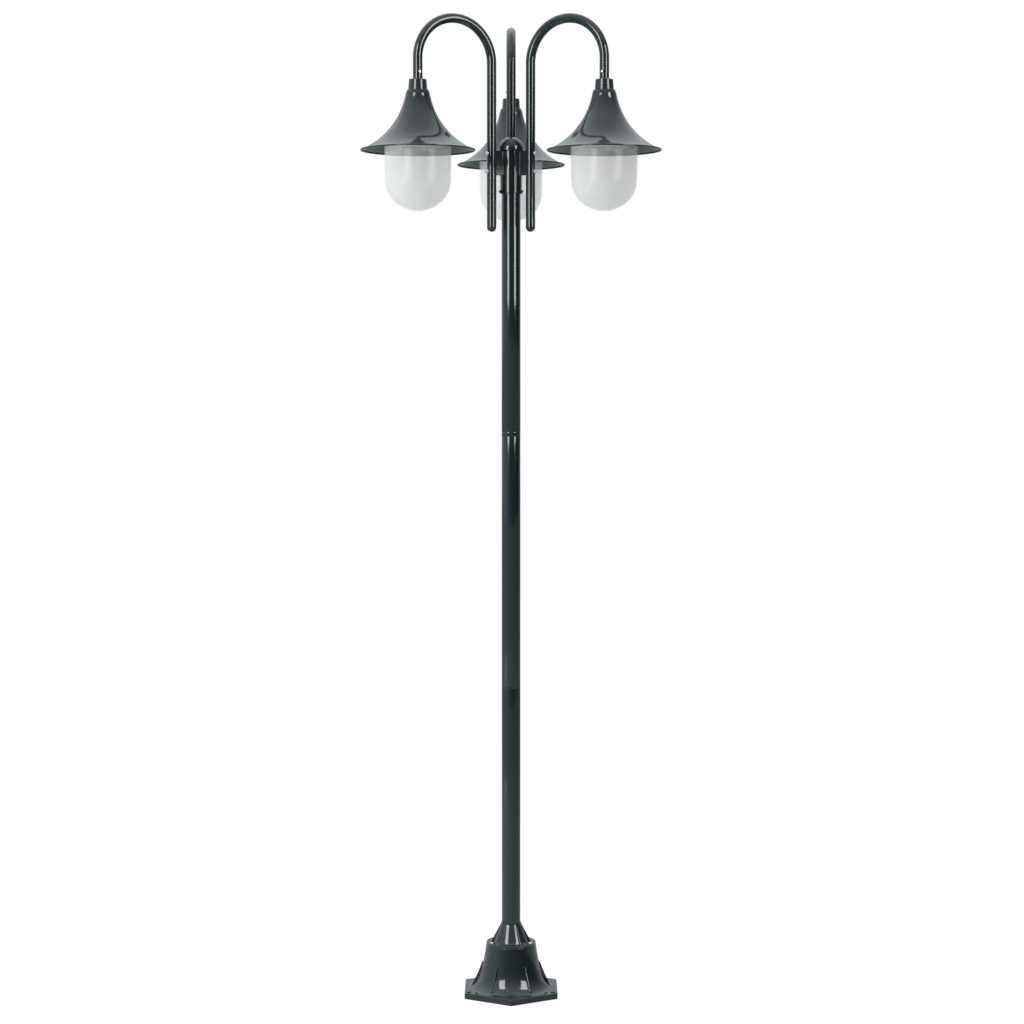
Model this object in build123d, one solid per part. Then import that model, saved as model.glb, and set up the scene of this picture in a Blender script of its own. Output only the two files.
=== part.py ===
from build123d import *
import math
import os

# Three-lantern garden lamp post, in millimetres.
# Origin: centre of the foot plate's underside, on the pole's axis. +Z is up.
# An arm and its lamp are modelled in the arm's own plane, along +X, and then
# swung about the pole's axis to their azimuth.

# ---------------------------------------------------------------- driving sizes
OVERALL_H = 2200.0
ARM_AZIMUTHS = {"left": 210.0, "right": 330.0, "back": 90.0}
LOCK_SIDES = {"left": 1.0, "right": -1.0, "back": 1.0}

FIT = 0.1                 # radial clearance of a tube or spigot in its bore
THREAD_FIT = 0.05         # radial clearance of a screw in its hole
RUN_FIT = 0.05            # radial clearance of a sliding pin in its bore
AIR = 0.5                 # free air between a moving piece and its neighbour

# foot casting
FOOT_FLATS = 210.0
PLATE_T = 14.0
PLATE_CORNER_R = 3.0
ANCHOR_INSET = 12.2436    # from the plate's sharp corner to an anchor hole's centre
ANCHOR_R = 6.0
BELL_MARGIN = 7.0         # plate left outside the bell, across flats
BELL_LIP = 0.5            # bell's top beyond the socket's flange
BELL_TOP_Z = 113.0
BELL_NECK_SWELL = 6.5
BELL_NECK_Z = 68.0
BELL_SWEEP = 25.0
BELL_WALL = 5.0
BELL_ROOF_T = 12.0
CAVITY_MARGIN = 16.0
CAVITY_KNEE = 7.0
CAVITY_KNEE_Z = 24.0
RIB_COUNT = 6
RIB_T = 3.0
RIB_TOP_PROUD = 3.0
RIB_TOP_Z = 71.0
RIB_FOOT_INSET = 6.5
RIB_SAG = 1.6

# pole socket
FLANGE_REACH = 16.5       # flange beyond the cone's foot
FLANGE_T = 5.0
CONE_SPREAD = 18.3        # cone's foot beyond the pole
CONE_WALL_TOP = 1.6
CONE_H = 44.0
CONE_RIB_REACH = 5.5
CONE_RIB_T = 2.5
SOCKET_SCREW_EDGE = 6.3   # from the flange's edge to a screw's axis
SOCKET_SCREW_R = 2.5
SOCKET_SCREW_HEAD_R = 4.6
SOCKET_SCREW_HEAD_H = 3.0
SOCKET_SCREW_L = 14.0
SPIGOT_R = 30.0
SPIGOT_L = 5.0
SEAT_OVER_BELL = 17.0
CABLEWAY_R = 14.0

# pole
POLE_R = 21.2
POLE_WALL = 2.5
POLE_ENTRY = 35.0
COUPLER_SPIGOT_L = 28.0
COUPLER_WALL = 6.6
LOWER_BAND_H = 4.0
UPPER_BAND_H = 10.0
BAND_CHAMFER = 0.6

# arms
ARM_R = 10.5
ARM_WALL = 1.5
ARM_GAP = 15.1            # from the hub sleeve to an inner leg
ARM_BEND_R = 92.5
OUTER_LEG_L = 63.0
PLUG_SPIGOT_L = 12.0

# hub
HUB_WALL = 3.1
HUB_H = 94.0
HUB_BELOW_BEND = 192.0
HUB_LEDGE = 6.2           # ledge that stops the pole's top end
WEB_H = 54.0
WEB_T = 9.0
LEG_BELOW_HUB = 75.5
CAP_OVERHANG = 5.1
CAP_SKIRT_H = 3.5
CAP_WALL = 3.0
CAP_SPIGOT_L = 6.0
SET_SCREW_RISE = 4.5
SET_SCREW_R = 2.5
SET_SCREW_HEAD_R = 4.0
SET_SCREW_HEAD_H = 6.0
ARM_SCREW_R = 2.0
ARM_SCREW_HEAD_R = 3.8
ARM_SCREW_HEAD_H = 3.5
ARM_SCREW_MARGIN = 7.0
ARM_SCREW_GRIP = 11.0
WASHER_R = 4.8
WASHER_T = 1.0
WIRE_HOLE_R = 3.0
WIRE_SLOT_R = 4.0

# cable and leads
CABLE_R = 4.0
LEAD_R = 2.3
LEAD_PITCH_R = 4.5
LEAD_SLACK = 1.2          # between a lead and the arm's bore
SPLICE_R = 9.0
SPLICE_H = 16.0
SPLICE_GAP = 4.0

# lamp head, its levels counted down from the arm's end
COLLAR_H = 23.0
COLLAR_WALL = 8.8
COLLAR_TAPER = 1.4
COLLAR_LIP = 0.8
COLLAR_LIP_H = 2.0
COLLAR_LEDGE = 7.0
NIPPLE_WALL = 3.9
NIPPLE_ABOVE = 44.0
LOCK_SCREW_RISE = 16.0
LOCK_SCREW_R = 2.0
LOCK_SCREW_HEAD_R = 3.2
LOCK_SCREW_HEAD_H = 2.0
LOCK_NUT_LAND = 4.9       # corner of the nut beyond the stem
LOCK_NUT_H = 6.0

# shade
SHADE_WALL = 1.5
CROWN_ROUND = 2.4
HOLDER_ROOM = 2.3         # shade's neck beyond the lampholder
SHADE_NECK_DROP = 7.0
SHADE_RIM_R = 126.0
SHADE_RIM_DROP = 131.0
SHADE_ARC_R = 166.0
BEAD_R = 1.8

# lampholder
HOLDER_TOP_DROP = 17.0
HOLDER_SHOULDER = 5.0
HOLDER_BODY_H = 39.0
HOLDER_WALL = 4.7
HOLDER_SKIRT_H = 13.0
HOLDER_NIPPLE_DEPTH = 4.0
SHELL_BORE_R = 13.5
SHELL_T = 0.7
SHELL_L = 21.0
SOCKET_DEPTH = 28.0
CONTACT_R = 3.5
CONTACT_T = 2.0
CONTACT_STEM_R = 1.5
CONTACT_STEM_L = 13.0
CONTACT_INSET = 3.0
RING_WALL = 6.0
RING_H = 5.5

# globe and its carrier
CARRIER_T = 1.5
CARRIER_HUB_LAND = 4.0
CARRIER_GAP = 5.228        # carrier's edge below the shade's inner face
CARRIER_LEDGE = 12.0
CARRIER_OVERHANG = 1.7
BAYONET_T = 2.0
BAYONET_H = 17.5
GLOBE_RIM_R = 74.3
GLOBE_DRAFT = 1.7
GLOBE_WALL = 2.5
GLOBE_WALL_H = 86.0
GLOBE_DOME_H = 67.0
GASKET_T = 2.0
GASKET_OVERHANG = 1.2
LUG_COUNT = 3
LUG_W = 8.0
LUG_H = 4.0
LUG_DROP = 7.0
TWIST_DEG = 30.0

# inside the bell
BRACKET_Z = 44.0
BRACKET_T = 2.5
BRACKET_W = 26.0
POST_INSET = 5.5          # from the bell's inner wall at the roof to a post's axis
POST_R = 6.0
BRACKET_SCREW_R = 2.0
BRACKET_SCREW_L = 10.0
BLOCK_SIZE = (20.0, 30.0, 18.0)
FITTING_INSET = 18.0      # from a post to the gland, and to the earth screw
GLAND_R = 8.0
GLAND_HEX_R = 9.0
GLAND_BORE_R = 4.5
GLAND_L = 20.0
GLAND_NUT_H = 4.5
EARTH_R = 2.5
EARTH_L = 8.0

# ---------------------------------------------------------------- derived levels
HUB_R = POLE_R + FIT + HUB_WALL
HUB_CAVITY_R = POLE_R - HUB_LEDGE
CAP_R = HUB_R + CAP_OVERHANG
CONE_FOOT_R = POLE_R + CONE_SPREAD
CONE_RIB_FOOT_R = CONE_FOOT_R + CONE_RIB_REACH
FLANGE_R = CONE_FOOT_R + FLANGE_REACH
SOCKET_SCREW_PCD = 2 * (FLANGE_R - SOCKET_SCREW_EDGE)
PLATE_CORNER_AT = FOOT_FLATS / math.sqrt(3)
ANCHOR_PCD = 2 * (PLATE_CORNER_AT - ANCHOR_INSET)
BELL_FOOT_R = FOOT_FLATS / 2 - BELL_MARGIN
BELL_SWEEP_R = BELL_FOOT_R - BELL_SWEEP
BELL_TOP_R = FLANGE_R + BELL_LIP
BELL_NECK_R = BELL_TOP_R + BELL_NECK_SWELL
CAVITY_MOUTH_R = BELL_FOOT_R - CAVITY_MARGIN
CAVITY_KNEE_R = CAVITY_MOUTH_R - CAVITY_KNEE
RIB_TOP_R = BELL_NECK_R + RIB_TOP_PROUD
RIB_FOOT_R = BELL_FOOT_R - RIB_FOOT_INSET
POST_X = BELL_TOP_R - BELL_WALL - POST_INSET
GLAND_X = FITTING_INSET - POST_X
EARTH_X = POST_X - FITTING_INSET
ARM_PITCH_R = HUB_R + ARM_GAP + ARM_R
BEND_Z = OVERALL_H - ARM_R - ARM_BEND_R
LAMP_R = ARM_PITCH_R + 2 * ARM_BEND_R
ARM_END_Z = BEND_Z - OUTER_LEG_L
HUB_TOP_Z = BEND_Z - HUB_BELOW_BEND
HUB_FOOT_Z = HUB_TOP_Z - HUB_H
WEB_FOOT_Z = HUB_TOP_Z - WEB_H
WEB_MID_Z = HUB_TOP_Z - WEB_H / 2
LEG_END_Z = HUB_FOOT_Z - LEG_BELOW_HUB
POLE_TOP_Z = HUB_FOOT_Z + POLE_ENTRY
POLE_SEAT_Z = BELL_TOP_Z + SEAT_OVER_BELL
SECTION_L = (POLE_TOP_Z - POLE_SEAT_Z) / 3
POLE_BORE_R = POLE_R - POLE_WALL
COUPLER_BORE_R = POLE_BORE_R - FIT - COUPLER_WALL
ARM_BORE_R = ARM_R - ARM_WALL
LEAD_ASIDE = ARM_BORE_R - LEAD_R - LEAD_SLACK
NIPPLE_R = ARM_BORE_R - FIT
NIPPLE_BORE_R = NIPPLE_R - NIPPLE_WALL
LOCK_NUT_R = NIPPLE_R + LOCK_NUT_LAND
COLLAR_TOP_R = ARM_R + FIT + COLLAR_WALL
COLLAR_FOOT_R = COLLAR_TOP_R + COLLAR_TAPER
HOLDER_SKIRT_R = SHELL_BORE_R + SHELL_T + FIT + HOLDER_WALL
HOLDER_R = HOLDER_SKIRT_R + HOLDER_SHOULDER
RING_R = HOLDER_SKIRT_R + RING_WALL
SHADE_NECK_R = HOLDER_R + HOLDER_ROOM
SHADE_CROWN_R = SHADE_NECK_R - CROWN_ROUND
CARRIER_HUB_R = HOLDER_R + CARRIER_HUB_LAND
CARRIER_EDGE_R = GLOBE_RIM_R + CARRIER_OVERHANG
CARRIER_CONE_R = CARRIER_EDGE_R - CARRIER_LEDGE
GASKET_R = GLOBE_RIM_R + GASKET_OVERHANG
GLOBE_LOW_R = GLOBE_RIM_R - GLOBE_DRAFT
SPLICE_Z = POLE_TOP_Z + SPLICE_GAP
ARM_SCREW_LEVELS = [WEB_FOOT_Z + ARM_SCREW_MARGIN, HUB_TOP_Z - ARM_SCREW_MARGIN]
FLANGE_TOP_Z = BELL_TOP_Z + FLANGE_T
SHADE_TOP_Z = ARM_END_Z - COLLAR_LEDGE
COLLAR_TOP_Z = SHADE_TOP_Z + COLLAR_H
HOLDER_TOP_Z = SHADE_TOP_Z - HOLDER_TOP_DROP
HOLDER_SHOULDER_Z = HOLDER_TOP_Z - HOLDER_BODY_H
HOLDER_MOUTH_Z = HOLDER_SHOULDER_Z - HOLDER_SKIRT_H
SHADE_NECK_Z = SHADE_TOP_Z - SHADE_NECK_DROP
SHADE_EDGE_R = SHADE_RIM_R - BEAD_R
SHADE_EDGE_Z = SHADE_TOP_Z - SHADE_RIM_DROP + BEAD_R
SHADE_CHORD = math.dist((SHADE_NECK_R, SHADE_NECK_Z), (SHADE_EDGE_R, SHADE_EDGE_Z))
SHADE_LIFT = math.sqrt(SHADE_ARC_R ** 2 - SHADE_CHORD ** 2 / 4)
SHADE_ARC_X = (SHADE_NECK_R + SHADE_EDGE_R) / 2 + (SHADE_NECK_Z - SHADE_EDGE_Z) * SHADE_LIFT / SHADE_CHORD
SHADE_ARC_Z = (SHADE_NECK_Z + SHADE_EDGE_Z) / 2 + (SHADE_EDGE_R - SHADE_NECK_R) * SHADE_LIFT / SHADE_CHORD
SHADE_INNER_R = SHADE_ARC_R + SHADE_WALL
SHADE_OVER_EDGE = math.sqrt(SHADE_INNER_R ** 2 - (SHADE_ARC_X - CARRIER_EDGE_R) ** 2)
CARRIER_Z = SHADE_ARC_Z - SHADE_OVER_EDGE - CARRIER_GAP
GLOBE_RIM_Z = CARRIER_Z - CARRIER_T - GASKET_T - 2 * AIR
BAYONET_R = GLOBE_RIM_R - GLOBE_WALL - AIR
LUG_TOP_Z = GLOBE_RIM_Z - LUG_DROP
BLOCK_TOP_Z = BRACKET_Z + BRACKET_T + BLOCK_SIZE[2]


# ---------------------------------------------------------------- small helpers
def swing(shape, azimuth):
    """A copy of a shape turned about the pole's axis."""
    return Rot(0, 0, azimuth) * shape


def rod(radius, low, high, x=0.0, y=0.0):
    """An upright cylinder between two levels."""
    return Pos(x, y, (low + high) / 2) * Cylinder(radius, high - low)


def tube(outer, inner, low, high, x=0.0, y=0.0):
    """An upright tube between two levels."""
    return rod(outer, low, high, x, y) - rod(inner, low - 1, high + 1, x, y)


def radial_rod(radius, near, far, level):
    """A cylinder along +X between two distances from the pole's axis."""
    return Pos((near + far) / 2, 0, level) * Rot(0, 90, 0) * Cylinder(radius, far - near)


def turned(points):
    """A solid of revolution about Z from an outline of (radius, level) points."""
    face = make_face(Polyline(*points, close=True))
    return revolve(Plane.XZ * face, Axis.Z)


def hex_prism(radius, low, high, x=0.0):
    """An upright hexagonal prism of the given corner radius."""
    return Pos(x, 0, low) * extrude(RegularPolygon(radius, 6), high - low)


def pan_screw(shank_r, shank_l, head_r, head_h):
    """A pan-head screw along Z, its head above Z 0, with a cross recess."""
    head = rod(head_r, 0, head_h)
    head = fillet(head.edges().sort_by(Axis.Z)[-1], head_h * 0.55)
    slot_w = head_r * 0.25
    slot = Box(head_r * 1.15, slot_w, head_h) + Box(slot_w, head_r * 1.15, head_h)
    head = head - Pos(0, 0, head_h) * slot
    return head + rod(shank_r, -shank_l, 0)


def group(solids):
    """Identical fasteners as one node of separate solids."""
    return Compound(children=list(solids))


def around(shape):
    """The shape at each arm's azimuth."""
    return group([swing(shape, azimuth) for azimuth in ARM_AZIMUTHS.values()])


# ---------------------------------------------------------------- foot
def bell_outline():
    """The bell's outer outline, from the roof's edge down to the plate."""
    return Bezier((BELL_TOP_R, BELL_TOP_Z), (BELL_NECK_R, BELL_NECK_Z),
                  (BELL_SWEEP_R, PLATE_T), (BELL_FOOT_R, PLATE_T))


def bell_solid():
    """The bell as a full solid, sunk into the plate."""
    sunk = PLATE_T / 2
    rest = Polyline((BELL_FOOT_R, PLATE_T), (BELL_FOOT_R, sunk), (0, sunk),
                    (0, BELL_TOP_Z), (BELL_TOP_R, BELL_TOP_Z))
    return revolve(Plane.XZ * make_face(bell_outline() + rest), Axis.Z)


def bell_cavity():
    """The hollow under the bell, open at the underside."""
    roof = BELL_TOP_Z - BELL_ROOF_T
    side = Bezier((BELL_TOP_R - BELL_WALL, roof), (BELL_NECK_R - BELL_WALL, BELL_NECK_Z),
                  (CAVITY_KNEE_R, CAVITY_KNEE_Z), (CAVITY_MOUTH_R, 0))
    rest = Polyline((CAVITY_MOUTH_R, 0), (CAVITY_MOUTH_R, -1), (0, -1), (0, roof),
                    (BELL_TOP_R - BELL_WALL, roof))
    return revolve(Plane.XZ * make_face(side + rest), Axis.Z)


def bell_rib():
    """One thin rib down the bell, along +X."""
    edge = SagittaArc((RIB_TOP_R, RIB_TOP_Z), (RIB_FOOT_R, PLATE_T), RIB_SAG)
    inner = BELL_TOP_R - BELL_WALL / 2
    rest = Polyline((RIB_FOOT_R, PLATE_T), (RIB_FOOT_R, PLATE_T / 2), (inner, PLATE_T / 2),
                    (inner, RIB_TOP_Z), (RIB_TOP_R, RIB_TOP_Z))
    return extrude(Plane.XZ * make_face(edge + rest), RIB_T / 2, both=True)


def base_casting():
    """Hexagonal plate, bell, ribs and the two posts that carry the bracket."""
    plate = Rot(0, 0, 30) * hex_prism(PLATE_CORNER_AT, 0, PLATE_T)
    plate = fillet(plate.edges().filter_by(Axis.Z), PLATE_CORNER_R)
    plate = chamfer(plate.edges().group_by(Axis.Z)[-1], 1.2)
    body = plate + bell_solid()
    for index in range(RIB_COUNT):
        body += swing(bell_rib(), index * 360 / RIB_COUNT)
    body -= bell_cavity()
    for side in (-1, 1):
        body += rod(POST_R, BRACKET_Z + BRACKET_T, BELL_TOP_Z - BELL_ROOF_T / 2, side * POST_X)
        tapped = BRACKET_SCREW_R + THREAD_FIT
        top = BRACKET_Z + BRACKET_SCREW_L + 2
        body -= rod(tapped, BRACKET_Z, top, side * POST_X)
    body -= rod(SPIGOT_R, BELL_TOP_Z - SPIGOT_L, BELL_TOP_Z + 1)
    body -= rod(CABLEWAY_R, 0, BELL_TOP_Z)
    for azimuth in ARM_AZIMUTHS.values():
        body -= swing(rod(ANCHOR_R, -1, PLATE_T + 5, ANCHOR_PCD / 2), azimuth)
        tapped = SOCKET_SCREW_R + THREAD_FIT
        depth = SOCKET_SCREW_L - FLANGE_T + 1
        body -= swing(rod(tapped, BELL_TOP_Z - depth, BELL_TOP_Z + 1, SOCKET_SCREW_PCD / 2), azimuth)
    return body


def pole_socket():
    """Flanged cone that holds the pole's foot."""
    cone_top_r = POLE_R + FIT + CONE_WALL_TOP
    cone_top = FLANGE_TOP_Z + CONE_H
    body = turned([(0, BELL_TOP_Z), (FLANGE_R, BELL_TOP_Z), (FLANGE_R, FLANGE_TOP_Z),
                   (CONE_FOOT_R, FLANGE_TOP_Z), (cone_top_r, cone_top), (0, cone_top)])
    body = fillet(body.edges().filter_by_position(Axis.Z, FLANGE_TOP_Z, FLANGE_TOP_Z), 1.5)
    rib = make_face(Polyline((POLE_R, BELL_TOP_Z + 1), (CONE_RIB_FOOT_R, BELL_TOP_Z + 1),
                             (CONE_RIB_FOOT_R, FLANGE_TOP_Z), (cone_top_r, cone_top - 3),
                             (POLE_R, cone_top - 3), close=True))
    for index in range(RIB_COUNT):
        body += swing(extrude(Plane.XZ * rib, CONE_RIB_T / 2, both=True), index * 360 / RIB_COUNT)
    body += rod(SPIGOT_R - FIT, BELL_TOP_Z - SPIGOT_L + FIT, BELL_TOP_Z + 1)
    body -= rod(POLE_R + FIT, POLE_SEAT_Z, cone_top + 1)
    body -= rod(CABLEWAY_R, BELL_TOP_Z - SPIGOT_L - 1, POLE_SEAT_Z + 1)
    for azimuth in ARM_AZIMUTHS.values():
        hole = rod(SOCKET_SCREW_R + THREAD_FIT, BELL_TOP_Z - 1, FLANGE_TOP_Z + 1, SOCKET_SCREW_PCD / 2)
        body -= swing(hole, azimuth)
    return body


def socket_screws():
    """Three screws that hold the socket to the bell."""
    screw = pan_screw(SOCKET_SCREW_R, SOCKET_SCREW_L, SOCKET_SCREW_HEAD_R, SOCKET_SCREW_HEAD_H)
    return around(Pos(SOCKET_SCREW_PCD / 2, 0, FLANGE_TOP_Z) * screw)


# ---------------------------------------------------------------- terminals in the bell
def terminal_bracket():
    """Strip across the two posts, with holes for gland, earth and posts."""
    length = 2 * (POST_X + POST_R)
    strip = Pos(0, 0, BRACKET_Z + BRACKET_T / 2) * Box(length, BRACKET_W, BRACKET_T)
    strip = fillet(strip.edges().filter_by(Axis.Z), 4)
    low = BRACKET_Z - 1
    high = BRACKET_Z + BRACKET_T + 1
    strip -= rod(GLAND_R + FIT, low, high, GLAND_X)
    strip -= rod(EARTH_R + THREAD_FIT, low, high, EARTH_X)
    for side in (-1, 1):
        strip -= rod(BRACKET_SCREW_R + FIT, low, high, side * POST_X)
    return strip


def bracket_screws():
    """Two screws from below into the posts."""
    screw = Rot(180, 0, 0) * pan_screw(BRACKET_SCREW_R, BRACKET_SCREW_L, 2 * BRACKET_SCREW_R, 3)
    return group([Pos(side * POST_X, 0, BRACKET_Z) * screw for side in (-1, 1)])


def terminal_block():
    """Block with three wire entries on each long side."""
    width, length, height = BLOCK_SIZE
    base_z = BRACKET_Z + BRACKET_T
    block = Pos(0, 0, base_z + height / 2) * Box(width, length, height)
    block = fillet(block.edges().filter_by(Axis.Z), 1.5)
    for index in (-1, 0, 1):
        entry = Pos(0, index * length / 3.4, base_z + height * 0.35) * Rot(0, 90, 0) * Cylinder(2.2, width * 2)
        block -= entry
    return block


def earth_screw():
    """Earth terminal screw on the bracket."""
    return Pos(EARTH_X, 0, BRACKET_Z + BRACKET_T) * pan_screw(EARTH_R, EARTH_L, EARTH_R * 1.9, 3.2)


def cable_gland():
    """Gland through the bracket, its mouth down."""
    foot = BRACKET_Z - GLAND_L
    body = hex_prism(GLAND_HEX_R + 2, BRACKET_Z - 6, BRACKET_Z, GLAND_X)
    body += rod(GLAND_R, BRACKET_Z - 6, BRACKET_Z + BRACKET_T + GLAND_NUT_H + 1, GLAND_X)
    dome = rod(GLAND_HEX_R + 0.5, foot, BRACKET_Z - 6, GLAND_X)
    body += fillet(dome.edges().sort_by(Axis.Z)[0], 3)
    return body - rod(GLAND_BORE_R, foot - 1, BRACKET_Z + BRACKET_T + GLAND_NUT_H + 2, GLAND_X)


def gland_nut():
    """Nut above the bracket."""
    low = BRACKET_Z + BRACKET_T
    nut = hex_prism(GLAND_HEX_R + 1.2, low, low + GLAND_NUT_H, GLAND_X)
    return nut - rod(GLAND_R + THREAD_FIT, low - 1, low + GLAND_NUT_H + 1, GLAND_X)


# ---------------------------------------------------------------- pole
def section_span(index):
    """The low and high end of a pole section, from the bottom up."""
    lows = [POLE_SEAT_Z, POLE_SEAT_Z + SECTION_L + LOWER_BAND_H / 2,
            POLE_SEAT_Z + 2 * SECTION_L + UPPER_BAND_H / 2]
    highs = [POLE_SEAT_Z + SECTION_L - LOWER_BAND_H / 2,
             POLE_SEAT_Z + 2 * SECTION_L - UPPER_BAND_H / 2, POLE_TOP_Z]
    return lows[index], highs[index]


def pole_section(index):
    """One pole section with softened ends."""
    low, high = section_span(index)
    body = tube(POLE_R, POLE_BORE_R, low, high)
    ends = body.edges().filter_by(GeomType.CIRCLE)
    outer = [edge for edge in ends if edge.radius > POLE_R - 0.01]
    return chamfer(outer, BAND_CHAMFER)


def coupler(joint_z, band_h):
    """Flush band between two sections, with a spigot into each."""
    band = rod(POLE_R, joint_z - band_h / 2, joint_z + band_h / 2)
    band = chamfer(band.edges().filter_by(GeomType.CIRCLE), BAND_CHAMFER)
    reach = band_h / 2 + COUPLER_SPIGOT_L
    body = band + rod(POLE_BORE_R - FIT, joint_z - reach, joint_z + reach)
    return body - rod(COUPLER_BORE_R, joint_z - reach - 1, joint_z + reach + 1)


def supply_cable():
    """Cable up the pole, from the terminal block to the splice."""
    return rod(CABLE_R, BLOCK_TOP_Z, SPLICE_Z)


# ---------------------------------------------------------------- hub
def hub_bracket():
    """Sleeve on the pole's top with a radial web for each arm."""
    body = rod(HUB_R, HUB_FOOT_Z, HUB_TOP_Z)
    body = chamfer(body.edges().sort_by(Axis.Z)[0], 1)
    web_end = ARM_PITCH_R - ARM_R / 2
    web = Pos((HUB_CAVITY_R + web_end) / 2, 0, WEB_MID_Z) * Box(web_end - HUB_CAVITY_R, WEB_T, WEB_H)
    saddle = rod(ARM_R, WEB_FOOT_Z - 1, HUB_TOP_Z + 1, ARM_PITCH_R)
    for azimuth in ARM_AZIMUTHS.values():
        body += swing(web - saddle, azimuth)
    body -= rod(POLE_R + FIT, HUB_FOOT_Z - 1, POLE_TOP_Z)
    body -= rod(HUB_CAVITY_R, POLE_TOP_Z - 1, HUB_TOP_Z + 1)
    web_face = ARM_PITCH_R - ARM_R
    cuts = [radial_rod(WIRE_HOLE_R, HUB_CAVITY_R - 2, web_face + 1, WEB_MID_Z),
            radial_rod(SET_SCREW_R + THREAD_FIT, POLE_R - 1, HUB_R + 1, HUB_FOOT_Z + SET_SCREW_RISE)]
    for level in ARM_SCREW_LEVELS:
        cuts.append(radial_rod(ARM_SCREW_R + THREAD_FIT, web_face - ARM_SCREW_GRIP - 1, web_face + 1, level))
    for azimuth in ARM_AZIMUTHS.values():
        for cut in cuts:
            body -= swing(cut, azimuth)
    return body


def hub_cap():
    """Domed cap with a hollow spigot into the hub."""
    shoulder = HUB_TOP_Z + CAP_SKIRT_H
    dome = CenterArc((0, shoulder), CAP_R, 0, 90)
    spigot_r = HUB_CAVITY_R - FIT
    spigot_foot = HUB_TOP_Z - CAP_SPIGOT_L
    hollow_top = shoulder + CAP_R / 2
    rest = Polyline((0, shoulder + CAP_R), (0, hollow_top), (spigot_r - CAP_WALL, hollow_top),
                    (spigot_r - CAP_WALL, spigot_foot), (spigot_r, spigot_foot),
                    (spigot_r, HUB_TOP_Z), (CAP_R, HUB_TOP_Z), (CAP_R, shoulder))
    return revolve(Plane.XZ * make_face(dome + rest), Axis.Z)


def hub_set_screws():
    """Three screws that clamp the sleeve to the pole."""
    screw = pan_screw(SET_SCREW_R, HUB_R - POLE_R, SET_SCREW_HEAD_R, SET_SCREW_HEAD_H)
    return around(Pos(HUB_R, 0, HUB_FOOT_Z + SET_SCREW_RISE) * Rot(0, 90, 0) * screw)


def arm_screws():
    """Two screws an arm, through the inner leg into the web."""
    head_at = ARM_PITCH_R + ARM_R + WASHER_T
    shank_l = 2 * ARM_R + WASHER_T + ARM_SCREW_GRIP
    screw = Rot(0, 90, 0) * pan_screw(ARM_SCREW_R, shank_l, ARM_SCREW_HEAD_R, ARM_SCREW_HEAD_H)
    solids = []
    for azimuth in ARM_AZIMUTHS.values():
        for level in ARM_SCREW_LEVELS:
            solids.append(swing(Pos(head_at, 0, level) * screw, azimuth))
    return group(solids)


def arm_washers():
    """A washer under each arm screw's head."""
    near = ARM_PITCH_R + ARM_R
    solids = []
    for azimuth in ARM_AZIMUTHS.values():
        for level in ARM_SCREW_LEVELS:
            washer = radial_rod(WASHER_R, near, near + WASHER_T, level)
            washer -= radial_rod(ARM_SCREW_R + FIT, near - 1, near + WASHER_T + 1, level)
            solids.append(swing(washer, azimuth))
    return group(solids)


# ---------------------------------------------------------------- arms
def arm_tube(side):
    """Swan-neck tube: inner leg, half circle and outer leg, drilled."""
    body = tube(ARM_R, ARM_BORE_R, LEG_END_Z, BEND_Z, ARM_PITCH_R)
    body += tube(ARM_R, ARM_BORE_R, ARM_END_Z, BEND_Z, LAMP_R)
    section = Pos(ARM_PITCH_R, 0, BEND_Z) * (Circle(ARM_R) - Circle(ARM_BORE_R))
    body += revolve(section, Axis((ARM_PITCH_R + ARM_BEND_R, 0, BEND_Z), (0, 1, 0)), 180)
    for level in ARM_SCREW_LEVELS:
        body -= radial_rod(ARM_SCREW_R + FIT, ARM_PITCH_R - ARM_R - 1, ARM_PITCH_R + ARM_R + 1, level)
    body -= radial_rod(WIRE_SLOT_R, ARM_PITCH_R - ARM_R - 1, ARM_PITCH_R, WEB_MID_Z)
    lock = Pos(LAMP_R, side * ARM_R, COLLAR_TOP_Z + LOCK_SCREW_RISE) * Rot(90, 0, 0)
    body -= lock * Cylinder(LOCK_SCREW_R + THREAD_FIT, ARM_R)
    return body


def arm_end_plug():
    """Rounded plug in the inner leg's lower end."""
    body = Pos(ARM_PITCH_R, 0, LEG_END_Z) * Sphere(ARM_R)
    body -= Pos(ARM_PITCH_R, 0, LEG_END_Z + ARM_R) * Box(4 * ARM_R, 4 * ARM_R, 2 * ARM_R)
    return body + rod(ARM_BORE_R - FIT, LEG_END_Z - 1, LEG_END_Z + PLUG_SPIGOT_L, ARM_PITCH_R)


def lamp_lock_screws():
    """One small screw an arm, through the outer leg onto the lamp's nipple."""
    screw = pan_screw(LOCK_SCREW_R, ARM_R - NIPPLE_R, LOCK_SCREW_HEAD_R, LOCK_SCREW_HEAD_H)
    solids = []
    for name, azimuth in ARM_AZIMUTHS.items():
        side = LOCK_SIDES[name]
        place = Pos(LAMP_R, side * ARM_R, COLLAR_TOP_Z + LOCK_SCREW_RISE) * Rot(-90 * side, 0, 0)
        solids.append(swing(place * screw, azimuth))
    return group(solids)


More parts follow.
